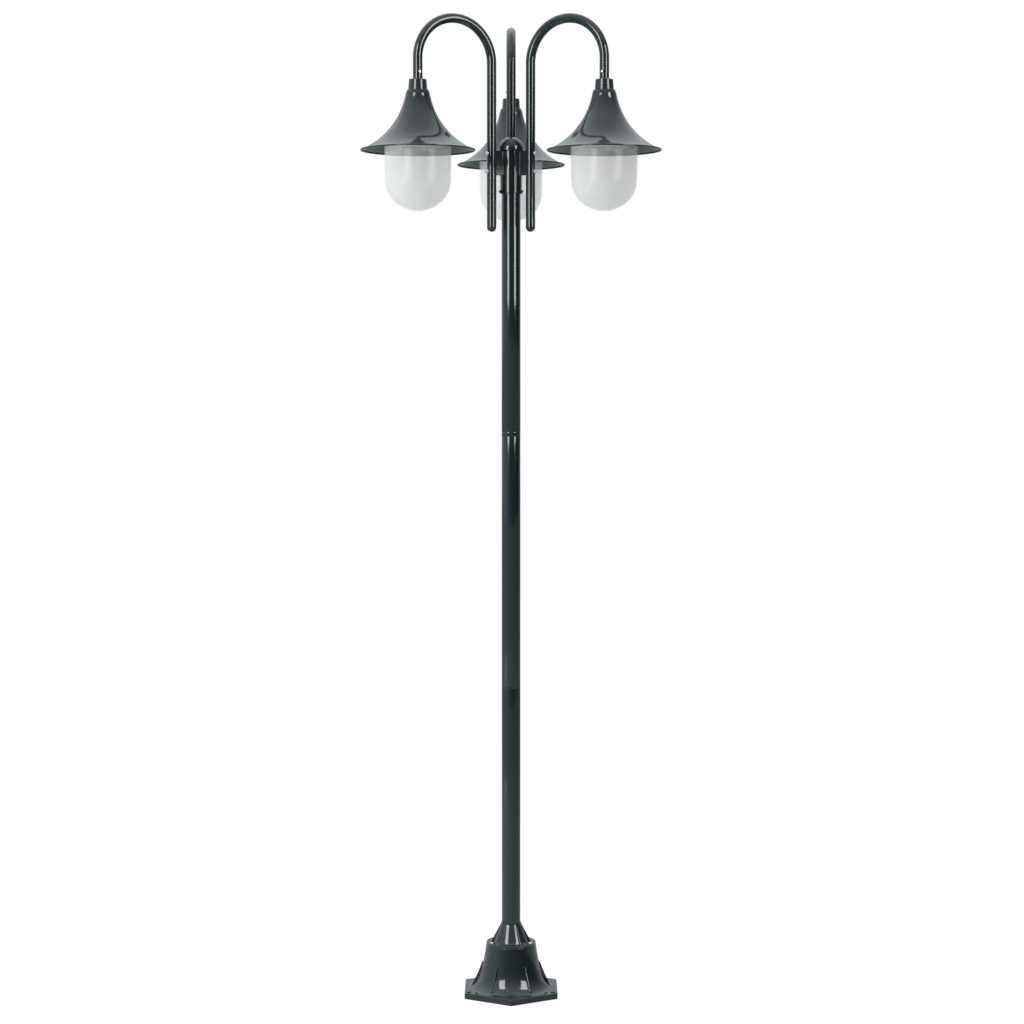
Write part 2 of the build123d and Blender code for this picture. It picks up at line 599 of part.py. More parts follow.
def lamp_lead():
    """Lead from the splice through web, arm and nipple to the lampholder."""
    start_z = SPLICE_Z + SPLICE_H
    crown_z = BEND_Z + ARM_BEND_R
    in_leg = ARM_PITCH_R - 4
    past_screw = WEB_MID_Z + 13
    end_z = HOLDER_TOP_Z - HOLDER_NIPPLE_DEPTH
    route = [(LEAD_PITCH_R, 0, start_z), (LEAD_PITCH_R, 0, WEB_MID_Z), (in_leg, 0, WEB_MID_Z),
             (ARM_PITCH_R, LEAD_ASIDE, past_screw), (ARM_PITCH_R, LEAD_ASIDE, crown_z),
             (LAMP_R, 0, crown_z), (LAMP_R, 0, end_z)]
    rise = WEB_MID_Z - start_z
    bend = ARM_BEND_R - 0.5
    path = FilletPolyline(*route, radius=[rise * 0.75, 8.5, 26, bend, bend])
    profile = Plane(route[0], z_dir=(0, 0, 1)) * Circle(LEAD_R)
    return sweep(profile, path=path)


def cable_joint():
    """Splice that joins the supply cable to the three leads."""
    return fillet(rod(SPLICE_R, SPLICE_Z, SPLICE_Z + SPLICE_H).edges(), 1.5)


# ---------------------------------------------------------------- lamp head
def neck_collar():
    """Tapered collar that hides the joint of arm and shade."""
    lip_r = COLLAR_FOOT_R + COLLAR_LIP
    body = turned([(0, SHADE_TOP_Z), (lip_r, SHADE_TOP_Z), (lip_r, SHADE_TOP_Z + COLLAR_LIP_H),
                   (COLLAR_FOOT_R, SHADE_TOP_Z + COLLAR_LIP_H), (COLLAR_TOP_R, COLLAR_TOP_Z),
                   (0, COLLAR_TOP_Z)])
    body = fillet(body.edges().sort_by(Axis.Z)[-1], 0.8)
    body -= rod(ARM_R + FIT, ARM_END_Z, COLLAR_TOP_Z + 1)
    body -= rod(NIPPLE_R + FIT, SHADE_TOP_Z - 1, ARM_END_Z + 1)
    return Pos(LAMP_R, 0, 0) * body


def arc_points(radius):
    """Start, middle and end of the shade's concave arc at a given arc radius."""
    neck = (SHADE_NECK_R, SHADE_NECK_Z)
    rim = (SHADE_EDGE_R, SHADE_EDGE_Z)
    centre = (SHADE_ARC_X, SHADE_ARC_Z)
    first = math.atan2(neck[1] - centre[1], neck[0] - centre[0])
    last = math.atan2(rim[1] - centre[1], rim[0] - centre[0])
    if last < first:
        last += 2 * math.pi
    angles = (first, (first + last) / 2, last)
    return [(centre[0] + radius * math.cos(a), centre[1] + radius * math.sin(a)) for a in angles]


def shade():
    """Spun trumpet shade with a flat crown and a rolled rim."""
    outer = arc_points(SHADE_ARC_R)
    inner = arc_points(SHADE_INNER_R)
    under = SHADE_TOP_Z - SHADE_WALL
    hole_r = NIPPLE_R + FIT
    outline = ThreePointArc(*outer)
    outline += Line(outer[2], inner[2])
    outline += ThreePointArc(*inner)
    outline += Polyline(inner[0], (SHADE_CROWN_R - SHADE_WALL, under), (hole_r, under),
                        (hole_r, SHADE_TOP_Z), (SHADE_CROWN_R, SHADE_TOP_Z), outer[0])
    body = revolve(Plane.XZ * make_face(outline), Axis.Z)
    edge_z = (outer[2][1] + inner[2][1]) / 2
    bead = Pos(0, 0, edge_z) * Torus(SHADE_EDGE_R, BEAD_R)
    return Pos(LAMP_R, 0, 0) * (body + bead)


def stem_nipples():
    """Hollow threaded stems that carry the lamps, clamped in the arms."""
    foot = HOLDER_TOP_Z - HOLDER_NIPPLE_DEPTH
    stem = tube(NIPPLE_R, NIPPLE_BORE_R, foot, ARM_END_Z + NIPPLE_ABOVE, LAMP_R)
    return around(stem)


def lock_nuts():
    """Nuts under the shades' crowns."""
    high = SHADE_TOP_Z - SHADE_WALL
    nut = hex_prism(LOCK_NUT_R, high - LOCK_NUT_H, high, LAMP_R)
    return around(nut - rod(NIPPLE_R + THREAD_FIT, high - LOCK_NUT_H - 1, high + 1, LAMP_R))


def lampholder():
    """Ceramic lampholder, its socket facing down."""
    body = rod(HOLDER_R, HOLDER_SHOULDER_Z, HOLDER_TOP_Z)
    body = fillet(body.edges().sort_by(Axis.Z)[-1], 6)
    body += rod(HOLDER_SKIRT_R, HOLDER_MOUTH_Z, HOLDER_SHOULDER_Z + 1)
    body -= rod(NIPPLE_R + THREAD_FIT, HOLDER_TOP_Z - HOLDER_NIPPLE_DEPTH, HOLDER_TOP_Z + 1)
    body -= rod(SHELL_BORE_R + SHELL_T + FIT, HOLDER_MOUTH_Z - 1, HOLDER_MOUTH_Z + SOCKET_DEPTH)
    roof = HOLDER_MOUTH_Z + SOCKET_DEPTH
    stem_top = roof - CONTACT_INSET + CONTACT_STEM_L
    body -= rod(CONTACT_STEM_R + RUN_FIT, roof - 1, stem_top + 2)
    return Pos(LAMP_R, 0, 0) * body


def screw_shell():
    """Brass shell that the lamp's cap screws into."""
    low = HOLDER_MOUTH_Z + 1
    return tube(SHELL_BORE_R + SHELL_T, SHELL_BORE_R, low, low + SHELL_L, LAMP_R)


def centre_contact():
    """Sprung contact button on a stem in the lampholder."""
    roof = HOLDER_MOUTH_Z + SOCKET_DEPTH
    low = roof - CONTACT_INSET - CONTACT_T
    button = fillet(rod(CONTACT_R, low, low + CONTACT_T).edges().sort_by(Axis.Z)[0], 1)
    stem = rod(CONTACT_STEM_R, low + 1, roof - CONTACT_INSET + CONTACT_STEM_L)
    return Pos(LAMP_R, 0, 0) * (button + stem)


def holder_rings():
    """Rings on the lampholders' skirts that clamp the globe carriers."""
    high = HOLDER_SHOULDER_Z - CARRIER_T
    body = tube(RING_R, HOLDER_SKIRT_R + THREAD_FIT, high - RING_H, high, LAMP_R)
    return around(body)


def bayonet_cut(azimuth):
    """One L-shaped slot: an entry from below and a run to the locked angle."""
    radius = BAYONET_R
    half = math.degrees((LUG_W / 2 + AIR) / (GLOBE_RIM_R - GLOBE_WALL))
    foot = CARRIER_Z - CARRIER_T - BAYONET_H
    run_low = LUG_TOP_Z - LUG_H - AIR
    run_high = LUG_TOP_Z + AIR
    entry = sector(radius + 1, azimuth - half, azimuth + half, foot - 1, run_high)
    run = sector(radius + 1, azimuth - half, azimuth + TWIST_DEG + half, run_low, run_high)
    return entry + run


def sector(radius, start, stop, low, high):
    """An upright wedge between two azimuths, from the axis outwards."""
    reach = radius / math.cos(math.radians((stop - start) / 2))
    corners = [(0, 0)]
    for angle in (start, (start + stop) / 2, stop):
        corners.append((reach * math.cos(math.radians(angle)), reach * math.sin(math.radians(angle))))
    face = make_face(Polyline(*corners, close=True))
    return Pos(0, 0, low) * extrude(face, high - low)


def lug_azimuths():
    """Where the globe's lugs sit at rest, in the lamp's own frame."""
    return [index * 360 / LUG_COUNT for index in range(LUG_COUNT)]


def globe_carrier():
    """White dish clamped to the lampholder, with the bayonet ring below it."""
    hub_top = HOLDER_SHOULDER_Z
    hole_r = HOLDER_SKIRT_R + FIT
    under = CARRIER_Z - CARRIER_T
    slant = CARRIER_T * 0.85
    body = turned([(hole_r, hub_top), (CARRIER_HUB_R, hub_top), (CARRIER_CONE_R, CARRIER_Z),
                   (CARRIER_EDGE_R, CARRIER_Z), (CARRIER_EDGE_R, under),
                   (CARRIER_CONE_R - slant, under), (CARRIER_HUB_R - slant, hub_top - CARRIER_T),
                   (hole_r, hub_top - CARRIER_T)])
    ring = tube(BAYONET_R, BAYONET_R - BAYONET_T, under - BAYONET_H, under + CARRIER_T / 2)
    for azimuth in lug_azimuths():
        ring -= bayonet_cut(azimuth)
    return Pos(LAMP_R, 0, 0) * (body + ring)


def globe_shell(inset):
    """The globe's outer form, or its inner form when inset by the wall."""
    low_z = GLOBE_RIM_Z - GLOBE_WALL_H
    rim_r = GLOBE_RIM_R - inset
    low_r = GLOBE_LOW_R - inset
    depth = GLOBE_DOME_H - inset
    dome = EllipticalCenterArc((0, low_z), low_r, depth, 270, arc_size=90)
    rest = Polyline((low_r, low_z), (rim_r, GLOBE_RIM_Z), (0, GLOBE_RIM_Z), (0, low_z - depth))
    return revolve(Plane.XZ * make_face(dome + rest), Axis.Z)


def globe():
    """Clear cup with three inward lugs near its rim."""
    inner = globe_shell(GLOBE_WALL)
    body = globe_shell(0) - inner
    rim = body.edges().group_by(Axis.Z)[-1]
    body = fillet(rim, GLOBE_WALL * 0.3)
    inner_r = GLOBE_RIM_R - GLOBE_WALL
    reach = BAYONET_T + AIR + GLOBE_WALL / 2
    for azimuth in lug_azimuths():
        lug = Pos(inner_r + GLOBE_WALL / 2 - reach / 2, 0, LUG_TOP_Z - LUG_H / 2) * Box(reach, LUG_W, LUG_H)
        body += swing(lug, azimuth)
    return Pos(LAMP_R, 0, 0) * body


def globe_gasket():
    """Soft ring on the globe's rim, under the carrier's edge."""
    low = GLOBE_RIM_Z + AIR
    return tube(GASKET_R, BAYONET_R + AIR, low, low + GASKET_T, LAMP_R)


# ---------------------------------------------------------------- build
def all_nodes():
    """Every node's name and its shape."""
    nodes = {
        "base_casting": base_casting(),
        "pole_socket": pole_socket(),
        "socket_screws": socket_screws(),
        "terminal_bracket": terminal_bracket(),
        "bracket_screws": bracket_screws(),
        "terminal_block": terminal_block(),
        "earth_screw": earth_screw(),
        "cable_gland": cable_gland(),
        "gland_nut": gland_nut(),
        "lower_pole": pole_section(0),
        "middle_pole": pole_section(1),
        "upper_pole": pole_section(2),
        "lower_coupler": coupler(POLE_SEAT_Z + SECTION_L, LOWER_BAND_H),
        "upper_coupler": coupler(POLE_SEAT_Z + 2 * SECTION_L, UPPER_BAND_H),
        "supply_cable": supply_cable(),
        "cable_joint": cable_joint(),
        "hub_bracket": hub_bracket(),
        "hub_cap": hub_cap(),
        "hub_set_screws": hub_set_screws(),
        "arm_screws": arm_screws(),
        "arm_washers": arm_washers(),
        "lamp_lock_screws": lamp_lock_screws(),
        "stem_nipples": stem_nipples(),
        "lock_nuts": lock_nuts(),
        "holder_rings": holder_rings(),
    }
    makers = {
        "arm_end_plug": arm_end_plug,
        "neck_collar": neck_collar,
        "shade": shade,
        "lampholder": lampholder,
        "screw_shell": screw_shell,
        "centre_contact": centre_contact,
        "globe_carrier": globe_carrier,
        "globe_gasket": globe_gasket,
        "globe": globe,
        "lamp_lead": lamp_lead,
    }
    shapes = {piece: maker() for piece, maker in makers.items()}
    for name, azimuth in ARM_AZIMUTHS.items():
        nodes[f"arm_tube_{name}"] = swing(arm_tube(LOCK_SIDES[name]), azimuth)
        for piece, shape in shapes.items():
            nodes[f"{piece}_{name}"] = swing(shape, azimuth)
    return nodes


def main():
    """Write one STEP file a node."""
    os.makedirs("parts", exist_ok=True)
    for name, shape in all_nodes().items():
        export_step(shape, f"parts/{name}.step")


main()
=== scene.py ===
import logging
import math
from collections.abc import Iterable
from dataclasses import dataclass
from enum import Enum
from functools import cache

import bpy
from mathutils import Matrix, Vector


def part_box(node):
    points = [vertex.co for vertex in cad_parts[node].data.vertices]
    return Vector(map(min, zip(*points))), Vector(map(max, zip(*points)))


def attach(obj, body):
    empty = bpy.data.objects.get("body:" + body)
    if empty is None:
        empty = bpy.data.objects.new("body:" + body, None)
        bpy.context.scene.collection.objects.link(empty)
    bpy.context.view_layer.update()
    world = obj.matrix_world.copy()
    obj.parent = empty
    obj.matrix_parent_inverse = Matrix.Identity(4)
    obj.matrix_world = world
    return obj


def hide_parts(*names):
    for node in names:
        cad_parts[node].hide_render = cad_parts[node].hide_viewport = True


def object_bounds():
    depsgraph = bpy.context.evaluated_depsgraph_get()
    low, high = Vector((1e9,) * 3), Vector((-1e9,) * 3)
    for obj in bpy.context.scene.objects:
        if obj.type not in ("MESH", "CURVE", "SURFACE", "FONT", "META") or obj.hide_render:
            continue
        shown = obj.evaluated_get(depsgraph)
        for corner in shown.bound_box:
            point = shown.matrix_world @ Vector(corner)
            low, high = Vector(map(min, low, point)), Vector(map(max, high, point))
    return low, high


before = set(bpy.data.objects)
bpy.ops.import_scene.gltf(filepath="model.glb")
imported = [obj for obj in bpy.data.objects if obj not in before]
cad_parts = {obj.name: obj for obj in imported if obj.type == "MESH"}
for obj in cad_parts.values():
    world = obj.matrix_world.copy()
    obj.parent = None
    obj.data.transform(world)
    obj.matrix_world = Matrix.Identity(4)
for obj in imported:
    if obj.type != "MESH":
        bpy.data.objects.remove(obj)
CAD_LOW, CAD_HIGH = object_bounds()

LOG = logging.getLogger("lamp_post")
MM = 0.001
LAMPS = ("left", "right", "back")
UP = Vector((0, 0, 1))

Colour = tuple[float, float, float]
Outline = list[tuple[float, float]]
Ring = list[Vector]
Piece = bpy.types.Object
Socket = bpy.types.NodeSocket


# ---------------------------------------------------------------- the frame
@dataclass(frozen=True)
class Span:
    """Where a node of the frame lies, in millimetres."""

    low: Vector
    high: Vector

    @classmethod
    @cache
    def of(cls, node: str) -> "Span":
        """Read a node's box.

        Args:
            node: Name of the node in the frame.

        Returns:
            The node's span.
        """
        low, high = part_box(node)
        return cls(low / MM, high / MM)

    @property
    def middle(self) -> Vector:
        """Centre of the box."""
        return (self.low + self.high) / 2

    @property
    def radius(self) -> float:
        """Half the box's width along X."""
        return (self.high.x - self.low.x) / 2


class Body(Enum):
    """Bodies that pieces ride on; a lamp's own bodies carry its name."""

    POST = "post"
    GLOBE = "{}_globe"
    GASKET = "{}_gasket"

    def named(self, lamp: str = "") -> str:
        """The body's name in the frame for one lamp."""
        return self.value.format(lamp)


@cache
def lamp_azimuth(lamp: str) -> float:
    """Direction of a lamp from the pole's axis, in degrees."""
    middle = Span.of("globe_" + lamp).middle
    return round(math.degrees(math.atan2(middle.y, middle.x)), 2)


def towards(lamp: str) -> Vector:
    """Level direction of a lamp from the pole's axis, one long."""
    azimuth = math.radians(lamp_azimuth(lamp))
    return Vector((math.cos(azimuth), math.sin(azimuth), 0))


# ---------------------------------------------------------------- meshes
def skin(name: str, rings: list[Ring], wrap: bool = True, crease: float = 32.0) -> Piece:
    """Cover a stack of rings with faces.

    Args:
        name: Name of the new piece.
        rings: Rings of points in millimetres, each with the same count, or with one point at an axis.
        wrap: True where the last ring joins the first.
        crease: Angle in degrees above which an edge stays sharp.

    Returns:
        The new object, in metres.
    """
    points: list[Vector] = []
    indices: list[list[int]] = []
    for ring in rings:
        indices.append(list(range(len(points), len(points) + len(ring))))
        points.extend(point * MM for point in ring)
    faces: list[list[int]] = []
    pairs = list(zip(indices, indices[1:]))
    if wrap:
        pairs.append((indices[-1], indices[0]))
    for below, above in pairs:
        count = max(len(below), len(above))
        if count == 1:
            continue
        for index in range(count):
            after = (index + 1) % count
            corners = [below[index % len(below)], below[after % len(below)],
                       above[after % len(above)], above[index % len(above)]]
            faces.append(list(dict.fromkeys(corners)))
    mesh = bpy.data.meshes.new(name)
    mesh.from_pydata(points, [], faces)
    mesh.validate()
    piece = bpy.data.objects.new(name, mesh)
    bpy.context.scene.collection.objects.link(piece)
    face_outwards(piece)
    soften(piece, crease)
    return piece


def face_outwards(piece: Piece) -> None:
    """Turn a closed mesh inside out where its volume comes out negative."""
    mesh = piece.data
    volume = 0.0
    for polygon in mesh.polygons:
        corners = [mesh.vertices[index].co for index in polygon.vertices]
        for second, third in zip(corners[1:], corners[2:]):
            volume += corners[0].dot(second.cross(third))
    if volume < 0:
        mesh.flip_normals()


def soften(piece: Piece, crease: float) -> None:
    """Shade a piece smooth, with its edges sharp above an angle in degrees."""
    mesh = piece.data
    mesh.polygons.foreach_set("use_smooth", [True] * len(mesh.polygons))
    mesh.set_sharp_from_angle(angle=math.radians(crease))


def settle(piece: Piece) -> None:
    """Apply a piece's modifiers to its mesh."""
    graph = bpy.context.evaluated_depsgraph_get()
    made = bpy.data.meshes.new_from_object(piece.evaluated_get(graph))
    old = piece.data
    piece.modifiers.clear()
    piece.data = made
    made.name = piece.name
    bpy.data.meshes.remove(old)


def discard(pieces: Iterable[Piece]) -> None:
    """Remove pieces that were only needed while making others."""
    for piece in pieces:
        mesh = piece.data
        bpy.data.objects.remove(piece)
        bpy.data.meshes.remove(mesh)


def merge(name: str, pieces: list[Piece]) -> Piece:
    """Join pieces into one object.

    Args:
        name: Name of the joined piece.
        pieces: Pieces to join; they are removed.

    Returns:
        The joined piece.
    """
    points: list[Vector] = []
    faces: list[list[int]] = []
    flags: list[bool] = []
    for piece in pieces:
        start = len(points)
        place = piece.matrix_world
        points.extend(place @ vertex.co for vertex in piece.data.vertices)
        faces.extend([start + index for index in polygon.vertices] for polygon in piece.data.polygons)
        flags.extend(polygon.use_smooth for polygon in piece.data.polygons)
    discard(pieces)
    mesh = bpy.data.meshes.new(name)
    mesh.from_pydata(points, [], faces)
    mesh.polygons.foreach_set("use_smooth", flags)
    joined = bpy.data.objects.new(name, mesh)
    bpy.context.scene.collection.objects.link(joined)
    return joined


class Cut(Enum):
    """What a tool shape does to a piece."""

    AWAY = "DIFFERENCE"
    JOIN = "UNION"


def carve(piece: Piece, tools: list[Piece], cut: Cut = Cut.AWAY, crease: float = 32.0) -> None:
    """Cut tool shapes out of a piece, or join them to it.

    Args:
        piece: Piece that is changed.
        tools: Closed shapes; they are removed afterwards.
        cut: Whether the tools are cut away or joined.
        crease: Angle in degrees above which an edge stays sharp.
    """
    tool = merge(piece.name + "_tool", tools)
    boolean = piece.modifiers.new("carve", "BOOLEAN")
    boolean.operation = cut.value
    boolean.solver = "EXACT"
    boolean.object = tool
    settle(piece)
    discard([tool])
    soften(piece, crease)
    weighted = piece.modifiers.new("normals", "WEIGHTED_NORMAL")
    weighted.keep_sharp = True
    settle(piece)


def scatter(name: str, pattern: Piece, places: list[Matrix]) -> Piece:
    """Repeat a small piece at several places as one object.

    Args:
        name: Name of the joined piece.
        pattern: Piece to repeat; it is removed.
        places: Where each copy goes, with millimetres already turned to metres.

    Returns:
        The joined piece.
    """
    copies = []
    for place in places:
        copy = bpy.data.objects.new(name, pattern.data.copy())
        bpy.context.scene.collection.objects.link(copy)
        copy.data.transform(place)
        copies.append(copy)
    discard([pattern])
    joined = merge(name, copies)
    soften(joined, 32.0)
    return joined


def polar(radius: float, angle: float, level: float) -> Vector:
    """A point at a radius from Z, an angle in radians and a level."""
    return Vector((radius * math.cos(angle), radius * math.sin(angle), level))


def circle(radius: float, level: float, sides: int) -> Ring:
    """A level ring of points about Z, or its centre alone where the radius is nothing."""
    if radius < 1e-6:
        return [Vector((0, 0, level))]
    return [polar(radius, 2 * math.pi * index / sides, level) for index in range(sides)]


def lathe(name: str, outline: Outline, sides: int = 96, crease: float = 32.0) -> Piece:
    """Turn an outline about Z.

    Args:
        name: Name of the new piece.
        outline: Points of (radius, level) in millimetres, closed or from axis to axis.
        sides: Number of steps round the axis.
        crease: Angle in degrees above which an edge stays sharp.

    Returns:
        The turned piece.
    """
    return skin(name, [circle(radius, level, sides) for radius, level in outline], True, crease)


def softened(corners: list[tuple[float, float, float]], steps: int = 5) -> Outline:
    """Round the corners of an outline.

    Args:
        corners: Points of (radius, level, corner radius) in millimetres.
        steps: Number of steps in each rounded corner.

    Returns:
        The outline with an arc in place of each corner that has a radius.
    """
    outline: Outline = []
    count = len(corners)
    for index, (across, level, soft) in enumerate(corners):
        here = Vector((across, level))
        before = Vector(corners[index - 1][:2]) - here
        after = Vector(corners[(index + 1) % count][:2]) - here
        if soft <= 0 or before.length < 1e-6 or after.length < 1e-6:
            outline.append((across, level))
            continue
        half = before.angle(after) / 2
        reach = min(soft / math.tan(half), 0.49 * before.length, 0.49 * after.length)
        radius = reach * math.tan(half)
        centre = here + (before.normalized() + after.normalized()).normalized() * radius / math.sin(half)
        first = here + before.normalized() * reach - centre
        last = here + after.normalized() * reach - centre
        start = math.atan2(first.y, first.x)
        turn = math.remainder(math.atan2(last.y, last.x) - start, 2 * math.pi)
        for step in range(steps + 1):
            angle = start + turn * step / steps
            outline.append((centre.x + radius * math.cos(angle), centre.y + radius * math.sin(angle)))
    return outline


def bezier(points: list[tuple[float, float]], steps: int) -> Outline:
    """Points along a cubic curve from four control points."""
    first, second, third, last = (Vector(point) for point in points)
    curve: Outline = []
    for step in range(steps + 1):
        t = step / steps
        u = 1 - t
        spot = first * u ** 3 + second * 3 * u * u * t + third * 3 * u * t * t + last * t ** 3
        curve.append((spot.x, spot.y))
    return curve


def ramp(low: float, high: float, value: float) -> float:
    """A smooth step from 0 at low to 1 at high."""
    share = min(1.0, max(0.0, (value - low) / (high - low)))
    return share * share * (3 - 2 * share)


def drill(radius: float, start: Vector, end: Vector, countersink: float = 0.0) -> Piece:
    """A round tool shape between two points in millimetres, its far end wider by a countersink."""
    run = end - start
    outline = [(0.0, 0.0), (radius, 0.0), (radius, run.length - countersink),
               (radius + countersink, run.length), (0.0, run.length)]
    tool = lathe("drill", outline, 40)
    turn = Vector((0, 0, 1)).rotation_difference(run).to_matrix().to_4x4()
    tool.data.transform(Matrix.Translation(start * MM) @ turn)
    return tool


def hand_over(piece: Piece, finish: "Finish", node: str, body: Body = Body.POST, lamp: str = "") -> Piece:
    """Dress a finished piece and put it on its body in place of a node of the frame.

    Args:
        piece: Finished piece, in place.
        finish: Finish that it gets.
        node: Node of the frame that it stands for.
        body: Body that it rides on.
        lamp: Name of the lamp, where the body belongs to one.

    Returns:
        The same piece.
    """
    finish.dress(piece)
    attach(piece, body.named(lamp))
    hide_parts(node)
    LOG.info("%s rides on %s for %s", piece.name, body.named(lamp), node)
    return piece


# ---------------------------------------------------------------- node graphs
class Graph:
    """A node tree with short calls that add nodes and join them."""

    def __init__(self, tree: bpy.types.NodeTree) -> None:
        """Keep the tree that nodes are added to."""
        self.tree = tree

    def add(self, kind: str, inputs: dict[str | int, object] | None = None, **settings: object) -> bpy.types.Node:
        """Add a node.

        Args:
            kind: Type name of the node.
            inputs: Values or sockets for its inputs, by name or number.
            settings: Properties of the node.

        Returns:
            The new node.
        """
        made = self.tree.nodes.new(kind)
        for key, value in settings.items():
            setattr(made, key, value)
        for key, value in (inputs or {}).items():
            if isinstance(value, bpy.types.NodeSocket):
                self.tree.links.new(value, made.inputs[key])
            else:
                made.inputs[key].default_value = value
        return made

    def maths(self, operation: str, first: object, second: object = 0.0, clamp: bool = False) -> Socket:
        """Add a Math node and return its value."""
        return self.add("ShaderNodeMath", {0: first, 1: second}, operation=operation, use_clamp=clamp).outputs[0]

    def mapped(self, value: Socket, low: float, high: float, to_low: float = 0.0, to_high: float = 1.0) -> Socket:
        """Add a Map Range node and return its result."""
        inputs = {"Value": value, "From Min": low, "From Max": high, "To Min": to_low, "To Max": to_high}
        return self.add("ShaderNodeMapRange", inputs).outputs["Result"]

    def noise(self, vector: Socket, scale: object, detail: float = 2.0, roughness: float = 0.5) -> Socket:
        """Add a Noise node and return its factor."""
        inputs = {"Vector": vector, "Scale": scale, "Detail": detail, "Roughness": roughness}
        return self.add("ShaderNodeTexNoise", inputs).outputs[0]

    def blend(self, share: object, first: object, second: object, kind: str = "MIX") -> Socket:
        """Mix two colours and return the result."""
        mix = self.add("ShaderNodeMix", data_type="RGBA", blend_type=kind)
        for number, value in ((0, share), (6, first), (7, second)):
            if isinstance(value, bpy.types.NodeSocket):
                self.tree.links.new(value, mix.inputs[number])
            elif number == 0:
                mix.inputs[0].default_value = value
            else:
                mix.inputs[number].default_value = (*value, 1.0)
        return mix.outputs[2]

    def place(self) -> Socket:
        """The point on the piece, in its own metres."""
        return self.add("ShaderNodeTexCoord").outputs["Object"]


class Effect:
    """A shader node group that is built once and placed in many materials."""

    name = ""
    inputs: dict[str, float] = {}
    output = "Height"

    @classmethod
    def group(cls) -> bpy.types.NodeTree:
        """Build the group, or find it when it is already there.

        Returns:
            The node group.
        """
        found = bpy.data.node_groups.get(cls.name)
        if found:
            return found
        tree = bpy.data.node_groups.new(cls.name, "ShaderNodeTree")
        for label, value in cls.inputs.items():
            entry = tree.interface.new_socket(label, in_out="INPUT", socket_type="NodeSocketFloat")
            entry.default_value = value
        tree.interface.new_socket(cls.output, in_out="OUTPUT", socket_type="NodeSocketFloat")
        graph = Graph(tree)
        start = tree.nodes.new("NodeGroupInput")
        end = tree.nodes.new("NodeGroupOutput")
        tree.links.new(cls.draw(graph, start.outputs), end.inputs[0])
        return tree

    @classmethod
    def draw(cls, graph: Graph, given: bpy.types.NodeInputs) -> Socket:
        """Draw the effect's nodes and return its value."""
        raise NotImplementedError

    @classmethod
    def use(cls, graph: Graph, **values: float) -> Socket:
        """Place the group in a material.

        Args:
            graph: The material's graph.
            values: Values for the group's inputs, with _ for a space.

        Returns:
            The group's output.
        """
        placed = graph.tree.nodes.new("ShaderNodeGroup")
        placed.node_tree = cls.group()
        for label, value in values.items():
            placed.inputs[label.replace("_", " ")].default_value = value
        return placed.outputs[0]


class OrangePeel(Effect):
    """Slow waves that sprayed paint and moulded plastic keep when they dry."""

    name = "orange_peel"
    inputs = {"Wave mm": 3.0, "Depth": 1.0}

    @classmethod
    def draw(cls, graph: Graph, given: bpy.types.NodeInputs) -> Socket:
        """Two sizes of soft noise, added."""
        scale = graph.maths("DIVIDE", 1 / MM, given["Wave mm"])
        fine = graph.noise(graph.place(), scale, 1.0)
        broad = graph.noise(graph.place(), graph.maths("MULTIPLY", scale, 0.16), 0.0)
        total = graph.maths("ADD", fine, graph.maths("MULTIPLY", broad, 5.0))
        return graph.maths("MULTIPLY", total, given["Depth"])


class CastSkin(Effect):
    """Pits and grain that a sand casting shows through its paint."""

    name = "cast_skin"
    inputs = {"Grain mm": 0.8, "Depth": 1.0}

    @classmethod
    def draw(cls, graph: Graph, given: bpy.types.NodeInputs) -> Socket:
        """Grain from noise, less a few round pits."""
        scale = graph.maths("DIVIDE", 1 / MM, given["Grain mm"])
        grain = graph.noise(graph.place(), scale, 3.0, 0.6)
        pits = graph.add("ShaderNodeTexVoronoi", {"Vector": graph.place(),
                                                  "Scale": graph.maths("MULTIPLY", scale, 0.12)})
        hollow = graph.mapped(pits.outputs["Distance"], 0.0, 0.14, 1.0, 0.0)
        total = graph.maths("SUBTRACT", grain, graph.maths("MULTIPLY", hollow, 0.8))
        return graph.maths("MULTIPLY", total, given["Depth"])


class EdgeWear(Effect):
    """Where edges are rubbed: sharp outer edges, broken up by noise."""

    name = "edge_wear"
    inputs = {"From": 0.56, "To": 0.66, "Break up": 0.5}
    output = "Mask"

    @classmethod
    def draw(cls, graph: Graph, given: bpy.types.NodeInputs) -> Socket:
        """Pointiness between two limits, less the noise."""
        sharp = graph.add("ShaderNodeNewGeometry").outputs["Pointiness"]
        noise = graph.noise(graph.place(), 160.0, 4.0, 0.65)
        loss = graph.maths("MULTIPLY", graph.maths("SUBTRACT", noise, 0.5), given["Break up"])
        value = graph.maths("ADD", sharp, graph.maths("MULTIPLY", loss, 0.2))
        inputs = {"Value": value, "From Min": given["From"], "From Max": given["To"]}
        return graph.add("ShaderNodeMapRange", inputs).outputs["Result"]


class Dust(Effect):
    """Thin dust on whatever faces up."""

    name = "dust"
    inputs = {"Amount": 0.2}
    output = "Mask"

    @classmethod
    def draw(cls, graph: Graph, given: bpy.types.NodeInputs) -> Socket:
        """The upward part of the normal, times cloudy noise."""
        split = graph.add("ShaderNodeSeparateXYZ", {0: graph.add("ShaderNodeNewGeometry").outputs["Normal"]})
        upward = graph.mapped(split.outputs["Z"], 0.25, 0.95)
        cloud = graph.mapped(graph.noise(graph.place(), 45.0, 6.0, 0.7), 0.35, 0.7)
        return graph.maths("MULTIPLY", graph.maths("MULTIPLY", upward, cloud), given["Amount"], True)


